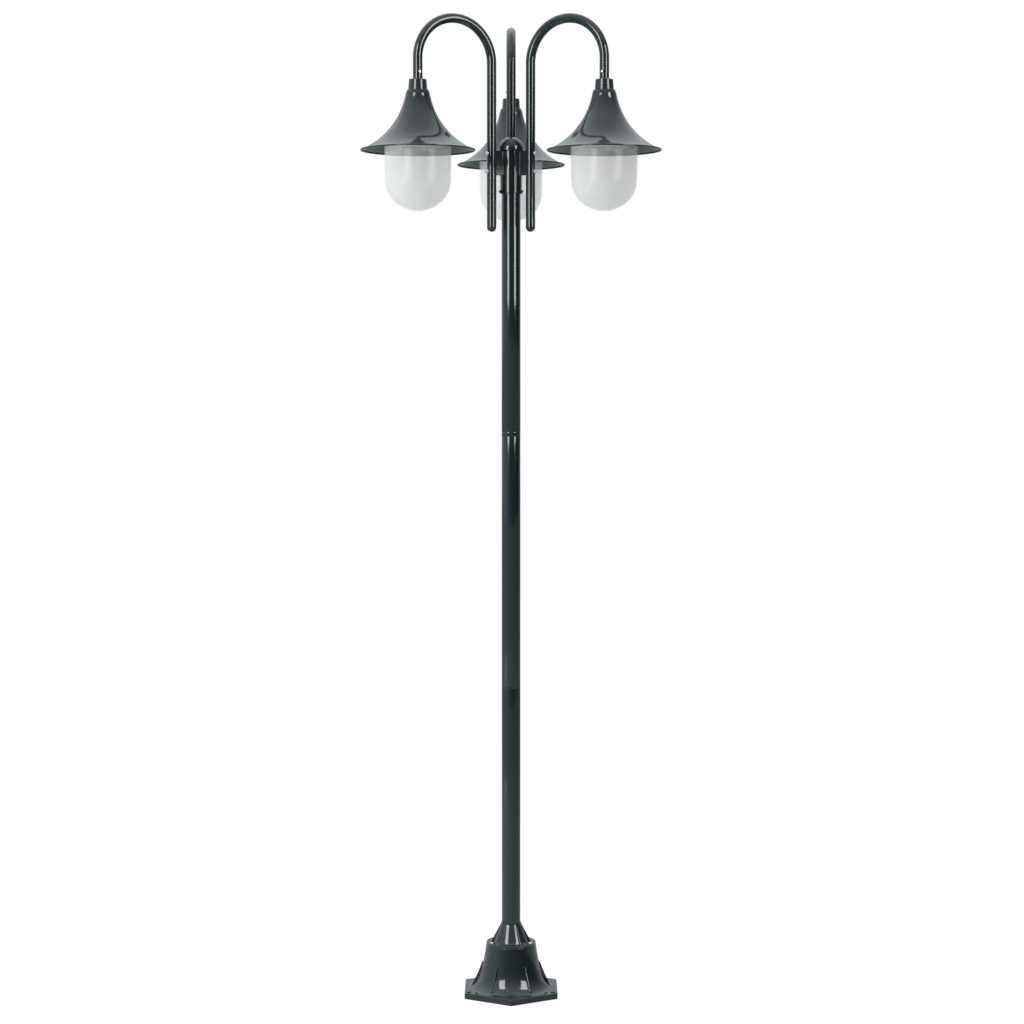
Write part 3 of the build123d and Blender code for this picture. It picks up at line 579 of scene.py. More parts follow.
class Mottle(Effect):
    """Slow uneven patches, about one half."""

    name = "mottle"
    inputs = {"Patch mm": 40.0, "Amount": 0.2}
    output = "Value"

    @classmethod
    def draw(cls, graph: Graph, given: bpy.types.NodeInputs) -> Socket:
        """Noise about one half, drawn out by the amount."""
        cloud = graph.noise(graph.place(), graph.maths("DIVIDE", 1 / MM, given["Patch mm"]), 5.0, 0.6)
        return graph.maths("ADD", 0.5, graph.maths("MULTIPLY", graph.maths("SUBTRACT", cloud, 0.5), given["Amount"]))


class TurnedRings(Effect):
    """Fine rings round a turned, spun or rolled piece."""

    name = "turned_rings"
    inputs = {"Ring mm": 0.5, "Depth": 1.0}

    @classmethod
    def draw(cls, graph: Graph, given: bpy.types.NodeInputs) -> Socket:
        """Noise that changes with level only."""
        level = graph.add("ShaderNodeSeparateXYZ", {0: graph.place()}).outputs["Z"]
        line = graph.add("ShaderNodeCombineXYZ", {"Z": level}).outputs[0]
        rings = graph.noise(line, graph.maths("DIVIDE", 1 / MM, given["Ring mm"]), 2.0)
        return graph.maths("MULTIPLY", rings, given["Depth"])


# ---------------------------------------------------------------- finishes
@dataclass(frozen=True)
class Finish:
    """A surface finish; each kind adds its own nodes to one shader.

    Attributes:
        name: Name of the material.
        colour: Linear base colour.
        roughness: Roughness of the clean surface.
    """

    name: str
    colour: Colour
    roughness: float

    def material(self) -> bpy.types.Material:
        """Build the material, or find it when it is already there.

        Returns:
            The material.
        """
        found = bpy.data.materials.get(self.name)
        if found:
            return found
        made = bpy.data.materials.new(self.name)
        made.use_nodes = True
        made.node_tree.nodes.clear()
        graph = Graph(made.node_tree)
        shader = graph.add("ShaderNodeBsdfPrincipled", {"Base Color": (*self.colour, 1.0),
                                                        "Roughness": self.roughness})
        graph.add("ShaderNodeOutputMaterial", {"Surface": shader.outputs[0]})
        self.detail(graph, shader)
        return made

    def detail(self, graph: Graph, shader: bpy.types.Node) -> None:
        """Add what makes this kind of finish."""
        raise NotImplementedError

    def feed(self, graph: Graph, shader: bpy.types.Node, label: str, value: Socket) -> None:
        """Join a value to one of the shader's inputs."""
        graph.tree.links.new(value, shader.inputs[label])

    def bump(self, graph: Graph, shader: bpy.types.Node, height: Socket, distance: float) -> None:
        """Raise the surface by a height, in metres for a height of one."""
        bump = graph.add("ShaderNodeBump", {"Height": height, "Distance": distance, "Strength": 1.0})
        self.feed(graph, shader, "Normal", bump.outputs[0])

    def dress(self, *pieces: Piece) -> None:
        """Give pieces this finish as their only material."""
        for piece in pieces:
            piece.data.materials.clear()
            piece.data.materials.append(self.material())


@dataclass(frozen=True)
class Enamel(Finish):
    """Gloss paint on metal.

    Attributes:
        cast: Depth of the casting's grain under the paint, 0 on drawn tube.
        spun: Depth of spinning rings under the paint.
        wear: Share of bare metal on rubbed edges.
        dusty: Share of dust on upward faces.
    """

    cast: float = 0.0
    spun: float = 0.0
    wear: float = 0.35
    dusty: float = 0.12
    peel: float = 1.0

    def detail(self, graph: Graph, shader: bpy.types.Node) -> None:
        """Peel, grain, rings, a thin film of dust and rubbed edges."""
        mottle = Mottle.use(graph, Patch_mm=55.0, Amount=0.35)
        shade = graph.blend(mottle, tuple(0.86 * part for part in self.colour),
                            tuple(1.14 * part for part in self.colour))
        dust = Dust.use(graph, Amount=self.dusty)
        worn = graph.maths("MULTIPLY", EdgeWear.use(graph), self.wear)
        dusted = graph.blend(dust, shade, (0.16, 0.155, 0.145))
        rubbed = graph.blend(worn, dusted, (0.11, 0.125, 0.125))
        self.feed(graph, shader, "Base Color", rubbed)
        gloss = graph.mapped(mottle, 0.3, 0.7, self.roughness * 0.85, self.roughness * 1.2)
        film = graph.maths("ADD", gloss, graph.maths("MULTIPLY", dust, 0.5))
        self.feed(graph, shader, "Roughness", graph.maths("ADD", film, graph.maths("MULTIPLY", worn, 0.12)))
        height = OrangePeel.use(graph, Wave_mm=2.6, Depth=self.peel)
        if self.cast:
            height = graph.maths("ADD", height, CastSkin.use(graph, Grain_mm=0.9, Depth=self.cast))
        if self.spun:
            height = graph.maths("ADD", height, TurnedRings.use(graph, Ring_mm=1.4, Depth=self.spun))
        self.bump(graph, shader, height, 0.0000022)
        shader.inputs["IOR"].default_value = 1.5
        shader.inputs["Coat Weight"].default_value = 0.3
        shader.inputs["Coat Roughness"].default_value = 0.03


@dataclass(frozen=True)
class BareMetal(Finish):
    """Unpainted metal, with fine turning lines and a little tarnish."""

    tarnish: Colour = (0.18, 0.16, 0.14)
    grain: float = 1.0

    def detail(self, graph: Graph, shader: bpy.types.Node) -> None:
        """Tarnish in patches, turning lines and rubbed edges."""
        shader.inputs["Metallic"].default_value = 1.0
        mottle = Mottle.use(graph, Patch_mm=2.5, Amount=1.0)
        patches = graph.mapped(mottle, 0.45, 0.8, 0.0, 0.4)
        stained = graph.blend(patches, self.colour, self.tarnish)
        bright = graph.maths("MULTIPLY", EdgeWear.use(graph), 0.5)
        self.feed(graph, shader, "Base Color",
                  graph.blend(bright, stained, tuple(min(1.0, part * 1.25) for part in self.colour)))
        self.feed(graph, shader, "Roughness",
                  graph.mapped(mottle, 0.3, 0.7, self.roughness * 0.8, self.roughness * 1.3))
        lines = TurnedRings.use(graph, Ring_mm=0.12, Depth=self.grain)
        self.bump(graph, shader, graph.maths("ADD", lines, OrangePeel.use(graph, Wave_mm=0.8, Depth=0.4)), 0.000004)


@dataclass(frozen=True)
class ClearPlastic(Finish):
    """Clear moulded globe, very slightly grey."""

    def detail(self, graph: Graph, shader: bpy.types.Node) -> None:
        """Full transmission, soft flow waves and a trace of dust."""
        shader.inputs["Transmission Weight"].default_value = 1.0
        shader.inputs["IOR"].default_value = 1.49
        dust = Dust.use(graph, Amount=0.25)
        mottle = Mottle.use(graph, Patch_mm=35.0, Amount=0.3)
        self.feed(graph, shader, "Base Color",
                  graph.blend(mottle, tuple(0.985 * part for part in self.colour), self.colour))
        self.feed(graph, shader, "Roughness",
                  graph.maths("ADD", graph.maths("MULTIPLY", dust, 0.08), self.roughness))
        self.bump(graph, shader, OrangePeel.use(graph, Wave_mm=14.0, Depth=1.0), 0.000003)


@dataclass(frozen=True)
class Ceramic(Finish):
    """Glazed porcelain with a few specks in the glaze."""

    def detail(self, graph: Graph, shader: bpy.types.Node) -> None:
        """Glaze waves and dark specks."""
        shader.inputs["Coat Weight"].default_value = 0.6
        shader.inputs["Coat Roughness"].default_value = 0.05
        specks = graph.add("ShaderNodeTexVoronoi", {"Vector": graph.place(), "Scale": 260.0})
        dots = graph.mapped(specks.outputs["Distance"], 0.03, 0.09, 0.5, 0.0)
        mottle = Mottle.use(graph, Patch_mm=14.0, Amount=0.3)
        cloudy = graph.blend(mottle, tuple(0.94 * part for part in self.colour), self.colour)
        self.feed(graph, shader, "Base Color", graph.blend(dots, cloudy, (0.32, 0.27, 0.2)))
        self.feed(graph, shader, "Roughness",
                  graph.mapped(mottle, 0.3, 0.7, self.roughness * 0.8, self.roughness * 1.3))
        self.bump(graph, shader, OrangePeel.use(graph, Wave_mm=4.0, Depth=1.0), 0.00001)


@dataclass(frozen=True)
class Moulded(Finish):
    """Moulded plastic or rubber with a fine spark-eroded grain."""

    grain: float = 1.0
    dusty: float = 0.3

    def detail(self, graph: Graph, shader: bpy.types.Node) -> None:
        """Grain, a bloom in patches and dust."""
        mottle = Mottle.use(graph, Patch_mm=9.0, Amount=0.7)
        cloudy = graph.blend(mottle, tuple(0.85 * part for part in self.colour),
                             tuple(min(1.0, 1.15 * part) for part in self.colour))
        dust = Dust.use(graph, Amount=self.dusty)
        self.feed(graph, shader, "Base Color", graph.blend(dust, cloudy, (0.36, 0.34, 0.31)))
        self.feed(graph, shader, "Roughness",
                  graph.maths("ADD", graph.maths("MULTIPLY", dust, 0.3),
                              graph.mapped(mottle, 0.3, 0.7, self.roughness * 0.9, self.roughness * 1.1)))
        self.bump(graph, shader, CastSkin.use(graph, Grain_mm=0.35, Depth=self.grain), 0.00001)


GREEN = (0.0175, 0.0325, 0.033)
CAST_ENAMEL = Enamel("cast_green_enamel", GREEN, 0.1, cast=1.2, dusty=0.1, peel=0.6)
TUBE_ENAMEL = Enamel("tube_green_enamel", GREEN, 0.09, wear=0.12, dusty=0.06, peel=0.15)
SPUN_ENAMEL = Enamel("spun_green_enamel", GREEN, 0.1, spun=0.8, wear=0.2, dusty=0.08, peel=0.6)
PLUG_ENAMEL = Enamel("plug_green_plastic", (0.019, 0.031, 0.031), 0.16, wear=0.1)
SCREW_ENAMEL = Enamel("painted_screws", (0.022, 0.031, 0.031), 0.2, wear=0.9)
WHITE_ENAMEL = Enamel("white_enamel", (0.72, 0.72, 0.7), 0.16, wear=0.05, dusty=0.2)
BRIGHT_STEEL = BareMetal("bright_steel", (0.68, 0.68, 0.66), 0.16)
ZINC_STEEL = BareMetal("zinc_plated_steel", (0.52, 0.53, 0.54), 0.32, tarnish=(0.3, 0.27, 0.2))
BRASS = BareMetal("socket_brass", (0.75, 0.56, 0.26), 0.25, tarnish=(0.3, 0.18, 0.08))
GLOBE_CLEAR = ClearPlastic("clear_globe", (0.965, 0.96, 0.965), 0.0)
PORCELAIN = Ceramic("glazed_porcelain", (0.82, 0.8, 0.75), 0.12)
WHITE_PLASTIC = Moulded("white_moulding", (0.7, 0.7, 0.67), 0.4)
BLACK_PLASTIC = Moulded("black_moulding", (0.012, 0.012, 0.013), 0.42)
SEAL_RUBBER = Moulded("seal_rubber", (0.016, 0.016, 0.016), 0.62, grain=1.5)
SHEATH = Moulded("cable_sheath", (0.014, 0.014, 0.015), 0.5, grain=0.7)


# ---------------------------------------------------------------- screws
@dataclass(frozen=True)
class PanScrew:
    """A pan-head screw along Z, its head above level 0, in millimetres."""

    shank_r: float
    shank_l: float
    head_r: float
    head_h: float

    def pattern(self, name: str) -> Piece:
        """Build one screw with a domed head and a cross recess.

        Args:
            name: Name of the piece.

        Returns:
            The screw.
        """
        crown = self.head_h
        outline = softened([(self.shank_r, 0, 0), (self.head_r * 0.97, 0, 0.2), (self.head_r, crown * 0.5, 0.5),
                            (self.head_r * 0.72, crown * 0.93, 1.2), (0, crown, 0),
                            (0, -self.shank_l, 0), (self.shank_r * 0.7, -self.shank_l, 0),
                            (self.shank_r, 0.4 - self.shank_l, 0)], 4)
        screw = lathe(name, outline, 48)
        for turn in (0.0, 90.0):
            carve(screw, [self.recess(turn)])
        return screw

    def recess(self, turn: float) -> Piece:
        """One wing of the cross recess, tapering down, turned about Z in degrees."""
        rings = []
        for level, share in ((self.head_h * 0.42, 0.3), (self.head_h * 1.2, 1.0)):
            half_l = self.head_r * 0.62 * share
            half_w = self.head_r * 0.13 * (0.6 + 0.4 * share)
            rings.append([Vector((x * half_l, y * half_w, level)) for x, y in ((1, 1), (-1, 1), (-1, -1), (1, -1))])
        tool = skin("recess", [[Vector((0, 0, rings[0][0].z))], *rings, [Vector((0, 0, rings[1][0].z))]], False)
        tool.data.transform(Matrix.Rotation(math.radians(turn), 4, "Z"))
        return tool


def upright(at: Vector) -> Matrix:
    """Placing of a screw that points down at a spot in millimetres."""
    return Matrix.Translation(at * MM)


def outward(azimuth: float, reach: float, level: float, turn: float = 20.0) -> Matrix:
    """Placing of a screw whose head looks away from the pole's axis.

    Args:
        azimuth: Direction from the axis in degrees.
        reach: Distance of the head's seat from the axis in millimetres.
        level: Height in millimetres.
        turn: Turn of the cross recess in degrees.

    Returns:
        The placing, in metres.
    """
    swing = Matrix.Rotation(math.radians(azimuth), 4, "Z")
    tip = Matrix.Rotation(math.radians(90), 4, "Y") @ Matrix.Rotation(math.radians(turn), 4, "Z")
    return swing @ Matrix.Translation(Vector((reach, 0, level)) * MM) @ tip


# ---------------------------------------------------------------- castings
@dataclass(frozen=True)
class Ribs:
    """Thin ribs spread round a casting, in millimetres.

    Attributes:
        count: Number of ribs, the first along +X.
        half_t: Half a rib's thickness.
        crest: Radius of the rib's outer edges.
        fillet: Radius of the fillet at the rib's root.
    """

    count: int = 6
    half_t: float = 1.5
    crest: float = 0.7
    fillet: float = 1.6

    def offsets(self) -> list[float]:
        """Where columns of points stand beside a rib's middle."""
        flat = self.half_t - self.crest
        root = self.half_t + self.fillet
        inner = [0.0, flat, flat + self.crest * 0.5, flat + self.crest * 0.85, self.half_t]
        outer = [self.half_t + self.fillet * share for share in (0.06, 0.3, 0.6)]
        return inner + outer + [root]

    def rise(self, offset: float, height: float) -> float:
        """How far the surface stands out beside a rib's middle.

        Args:
            offset: Distance along the surface from the rib's middle.
            height: Full height of the rib.

        Returns:
            The height there.
        """
        if height <= 0:
            return 0.0
        if offset <= self.half_t:
            over = max(0.0, offset - (self.half_t - self.crest))
            drop = self.crest - math.sqrt(max(0.0, self.crest ** 2 - over ** 2))
            return max(height - drop, min(height, self.fillet))
        left = min(self.fillet, max(0.0, self.half_t + self.fillet - offset))
        return min(height, self.fillet - math.sqrt(max(0.0, self.fillet ** 2 - left ** 2)))

    def columns(self, radius: float, corners: list[float], spread: int = 5) -> list[tuple[float, float]]:
        """Angles round the axis, close together at ribs and at plan corners.

        Args:
            radius: Radius that offsets along the surface are turned to angles with.
            corners: Offsets beside each plan corner, which stands midway between two ribs.
            spread: Number of even steps between a rib and a corner.

        Returns:
            Pairs of an angle in radians and the offset from the nearest rib.
        """
        half = math.pi / self.count
        near = [offset / radius for offset in self.offsets()]
        far = [half - offset / radius for offset in corners]
        middle = [near[-1] + (far[0] - near[-1]) * step / spread for step in range(1, spread)]
        side = near + middle + far
        angles = []
        for index in range(self.count):
            centre = 2 * half * index
            angles.extend(centre + angle for angle in side[:-1])
            angles.extend(centre + 2 * half - angle for angle in reversed(side[1:]))
        pairs = []
        for angle in angles:
            away = abs(math.remainder(angle, 2 * half))
            pairs.append((angle, away * radius))
        return pairs


@dataclass
class FootCasting:
    """Hexagonal plate with the bell, its ribs, cavity and holes, in millimetres."""

    apothem: float = 105.0
    plate_t: float = 14.0
    corner_r: float = 3.0
    edge_r: float = 1.6
    anchor_at: float = 109.0
    anchor_r: float = 6.0
    bell_foot_r: float = 98.0
    bell_controls: tuple = ((56.5, 113.0), (63.0, 68.0), (73.0, 14.0), (98.0, 14.0))
    cavity_controls: tuple = ((51.5, 101.0), (58.0, 68.0), (75.0, 24.0), (82.0, 0.0))
    spigot_r: float = 30.0
    spigot_l: float = 5.0
    cableway_r: float = 14.0
    roof_z: float = 101.0
    rib_top: tuple = (66.0, 71.0)
    rib_foot: tuple = (91.5, 14.0)
    rib_sag: float = 1.6
    post_x: float = 46.0
    post_r: float = 6.0
    post_foot_z: float = 46.5
    post_hole_r: float = 2.05
    post_hole_l: float = 9.5
    screw_at: float = 49.7
    screw_hole_r: float = 2.55
    screw_hole_foot_z: float = 103.0
    countersink: float = 1.6
    ribs: Ribs = Ribs()

    def hexagon(self, angle: float, inset: float) -> float:
        """Distance from the axis to the plate's edge.

        Args:
            angle: Direction in radians.
            inset: How far the edge is drawn in.

        Returns:
            The distance.
        """
        away = math.remainder(angle - math.pi / 6, math.pi / 3)
        apothem = self.apothem - inset
        round_r = max(0.6, self.corner_r - inset)
        centre = (apothem - round_r) / math.cos(math.pi / 6)
        tangent = math.atan2(round_r / 2, centre + round_r * math.cos(math.pi / 6))
        if abs(away) < tangent:
            return centre * math.cos(away) + math.sqrt(round_r ** 2 - (centre * math.sin(away)) ** 2)
        return apothem / math.cos(math.pi / 6 - abs(away))

    def rib_reach(self, level: float) -> float:
        """Distance from the axis to a rib's outer edge at a level, or nothing above and below it."""
        top_r, top_z = self.rib_top
        foot_r, foot_z = self.rib_foot
        if level > top_z + 0.01 or level < foot_z:
            return 0.0
        share = (top_z - level) / (top_z - foot_z)
        line = top_r + (foot_r - top_r) * share
        return line - self.rib_sag * 4 * share * (1 - share)

    def ring(self, radius: float, level: float, plate: float = 0.0, inset: float = 0.0) -> Ring:
        """One ring of the casting.

        Args:
            radius: Radius of the round part.
            level: Height of the ring.
            plate: Share of the hexagonal plan in the ring.
            inset: How far the hexagon is drawn in.

        Returns:
            The ring's points.
        """
        ring: Ring = []
        reach = self.rib_reach(level) if not plate else 0.0
        for angle, offset in self.ribs.columns(max(radius, 30.0), [2.6, 1.9, 1.4, 0.7, 0.0]):
            out = radius
            if plate:
                out += (self.hexagon(angle, inset) - radius) * plate
            elif radius >= self.bell_controls[0][0] and level > self.plate_t:
                out += self.ribs.rise(offset, reach - radius)
            ring.append(polar(out, angle, level))
        return ring

    def outside(self) -> list[Ring]:
        """Rings from the cavity's mouth over plate, bell and roof to the cableway."""
        top = self.plate_t
        edge = self.edge_r
        foot_r = self.bell_foot_r
        rings = [self.ring(foot_r, level, 1.0, inset) for level, inset in
                 ((0.0, 0.9), (0.26, 0.26), (0.9, 0.0), (top * 0.5, 0.0), (top - edge, 0.0),
                  (top - edge * 0.5, edge * 0.14), (top - edge * 0.14, edge * 0.5), (top, edge))]
        rings.append(self.ring(foot_r, top, 0.5, edge))
        bell = list(reversed(bezier(list(self.bell_controls), 46)))
        done = False
        for radius, level in bell:
            if level > self.rib_top[1] and not done:
                done = True
                rings.extend(self.step_back(radius, level))
            rings.append(self.ring(radius, level) if level > top else self.ring(radius, top))
        top_r, top_z = self.bell_controls[0]
        rings[-1:] = [self.ring(top_r - across, top_z - down) for across, down in
                      ((-0.15, 1.0), (0.0, 0.55), (0.3, 0.16), (0.8, 0.0))]
        rings.append(self.ring(self.spigot_r, top_z))
        rings.append(self.ring(self.spigot_r, top_z - self.spigot_l))
        rings.append(self.ring(self.cableway_r, top_z - self.spigot_l))
        return rings

    def step_back(self, radius: float, level: float) -> list[Ring]:
        """Rings that close the ribs' flat tops.

        Args:
            radius: Bell radius just above the ribs.
            level: Level just above the ribs.

        Returns:
            Two rings at the ribs' tops.
        """
        top = self.rib_top[1]
        near = radius + (level - top) * 0.16
        bare = [Vector((point.x, point.y, top + 0.3)) for point in self.ring(near - 0.02, self.rib_top[1] + 0.5)]
        return [self.ring(near + 0.1, top - 0.3), bare]

    def inside(self) -> list[Ring]:
        """Rings from the cableway along the cavity to its mouth."""
        rings = [self.ring(self.cableway_r, self.roof_z)]
        for radius, level in bezier(list(self.cavity_controls), 24):
            rings.append(self.ring(radius, level))
        return rings

    def build(self) -> Piece:
        """Build the casting.

        Returns:
            The finished piece on its body.
        """
        piece = skin("foot_casting", self.outside() + self.inside())
        posts = [drill(self.post_r, Vector((side * self.post_x, 0, self.post_foot_z)),
                       Vector((side * self.post_x, 0, self.roof_z + 5))) for side in (-1, 1)]
        carve(piece, posts, Cut.JOIN)
        tools = []
        for lamp in LAMPS:
            anchor = towards(lamp) * self.anchor_at
            tools.append(drill(self.anchor_r, anchor - UP * 2,
                               anchor + UP * (self.plate_t + self.countersink / 2), self.countersink))
            screw = towards(lamp) * self.screw_at
            tools.append(drill(self.screw_hole_r, screw + UP * self.screw_hole_foot_z,
                               screw + UP * (self.bell_controls[0][1] + 2)))
        for side in (-1, 1):
            foot = Vector((side * self.post_x, 0, self.post_foot_z))
            tools.append(drill(self.post_hole_r, foot - UP * 6.5, foot + UP * self.post_hole_l))
        carve(piece, tools)
        return hand_over(piece, CAST_ENAMEL, "base_casting")


@dataclass
class PoleSocket:
    """Flanged and ribbed cone that holds the pole's foot, in millimetres."""

    foot_z: float = 108.1
    seat_z: float = 113.0
    flange_r: float = 56.0
    flange_t: float = 5.0
    cone_foot_r: float = 39.5
    cone_top_r: float = 22.9
    cone_h: float = 44.0
    spigot_r: float = 29.9
    pole_bore_r: float = 21.3
    pole_seat_z: float = 130.0
    cableway_r: float = 14.0
    rib_foot_r: float = 45.0
    screw_at: float = 49.7
    screw_hole_r: float = 2.55
    screw: PanScrew = PanScrew(2.5, 14.0, 4.6, 3.0)
    ribs: Ribs = Ribs(half_t=1.25, crest=0.6, fillet=1.2)

    def ring(self, radius: float, level: float, ribbed: bool = False) -> Ring:
        """One ring, with the ribs standing out where they are asked for."""
        ring: Ring = []
        cone_top = self.seat_z + self.flange_t + self.cone_h
        foot = self.seat_z + self.flange_t
        share = (level - foot) / (cone_top - 3 - foot)
        reach = self.rib_foot_r + (self.cone_top_r + 0.3 - self.rib_foot_r) * share
        for angle, offset in self.ribs.columns(max(radius, 20.0), [3.0, 0.0], 6):
            out = radius + (self.ribs.rise(offset, reach - radius) if ribbed else 0.0)
            ring.append(polar(out, angle, level))
        return ring

    def build(self) -> Piece:
        """Build the socket.

        Returns:
            The finished piece on its body.
        """
        flange_z = self.seat_z + self.flange_t
        top_z = flange_z + self.cone_h
        lower = softened([(self.cableway_r, self.foot_z, 0), (self.spigot_r, self.foot_z, 0.5),
                          (self.spigot_r, self.seat_z, 0), (self.flange_r, self.seat_z, 0.3),
                          (self.flange_r, flange_z, 1.1), (self.cone_foot_r + 6.5, flange_z, 0)], 4)
        rings = [self.ring(radius, level) for radius, level in lower]
        rings.append(self.ring(self.cone_foot_r + 2.2, flange_z, True))
        rings.append(self.ring(self.cone_foot_r + 0.7, flange_z + 0.35, True))
        steps = 16
        for step in range(1, steps + 1):
            share = step / steps
            radius = self.cone_foot_r + (self.cone_top_r - self.cone_foot_r) * share
            rings.append(self.ring(radius, flange_z + (self.cone_h - 2.6) * share + 0.2, step < steps))
        upper = softened([(self.cone_top_r + 0.4, top_z - 1.6, 0), (self.cone_top_r, top_z, 0.7),
                          (self.pole_bore_r, top_z, 0.3), (self.pole_bore_r, self.pole_seat_z, 0),
                          (self.cableway_r, self.pole_seat_z, 0)], 4)
        rings.extend(self.ring(radius, level) for radius, level in upper)
        piece = skin("socket_casting", rings)
        tools = []
        for lamp in LAMPS:
            at = towards(lamp) * self.screw_at
            tools.append(drill(self.screw_hole_r, at + UP * (self.seat_z - 1), at + UP * (flange_z + 1)))
        carve(piece, tools)
        hand_over(piece, CAST_ENAMEL, "pole_socket")
        places = []
        for number, lamp in enumerate(LAMPS):
            at = towards(lamp) * self.screw_at + UP * flange_z
            places.append(upright(at) @ Matrix.Rotation(0.7 * number + 0.2, 4, "Z"))
        screws = scatter("socket_pan_screws", self.screw.pattern("screw"), places)
        hand_over(screws, BRIGHT_STEEL, "socket_screws")
        return piece


# ---------------------------------------------------------------- pole
@dataclass
class Pole:
    """Three tube sections and the flush bands between them, in millimetres."""

    wall: float = 2.5
    lip: float = 0.6
    spigot_gap: float = 0.1
    coupler_wall: float = 6.6
    sides: int = 128

    def section(self, node: str) -> Piece:
        """Build one tube section with rounded lips in place of a node."""
        span = Span.of(node)
        outer = span.radius
        inner = outer - self.wall
        low, high = span.low.z, span.high.z
        outline = softened([(inner, low, 0.2), (outer, low, self.lip), (outer, high, self.lip),
                            (inner, high, 0.2)], 5)
        piece = lathe(node + "_tube", outline, self.sides)
        return hand_over(piece, TUBE_ENAMEL, node)

    def coupler(self, node: str, band_h: float) -> Piece:
        """Build one coupler: a flush band with a spigot on each side.

        Args:
            node: Node that the coupler stands for.
            band_h: Height of the visible band.

        Returns:
            The finished piece on its body.
        """
        span = Span.of(node)
        outer = span.radius
        spigot = outer - self.wall - self.spigot_gap
        bore = spigot - self.coupler_wall
        middle = span.middle.z
        low, high = middle - band_h / 2, middle + band_h / 2
        outline = softened([(bore, span.low.z, 0.5), (spigot, span.low.z, 1.0), (spigot, low, 0),
                            (outer, low, self.lip), (outer, high, self.lip), (spigot, high, 0),
                            (spigot, span.high.z, 1.0), (bore, span.high.z, 0.5)], 4)
        piece = lathe(node + "_band", outline, self.sides)
        return hand_over(piece, TUBE_ENAMEL, node)

    def build(self) -> None:
        """Build every section and both couplers."""
        for node in ("lower_pole", "middle_pole", "upper_pole"):
            self.section(node)
        self.coupler("lower_coupler", 4.0)
        self.coupler("upper_coupler", 10.0)


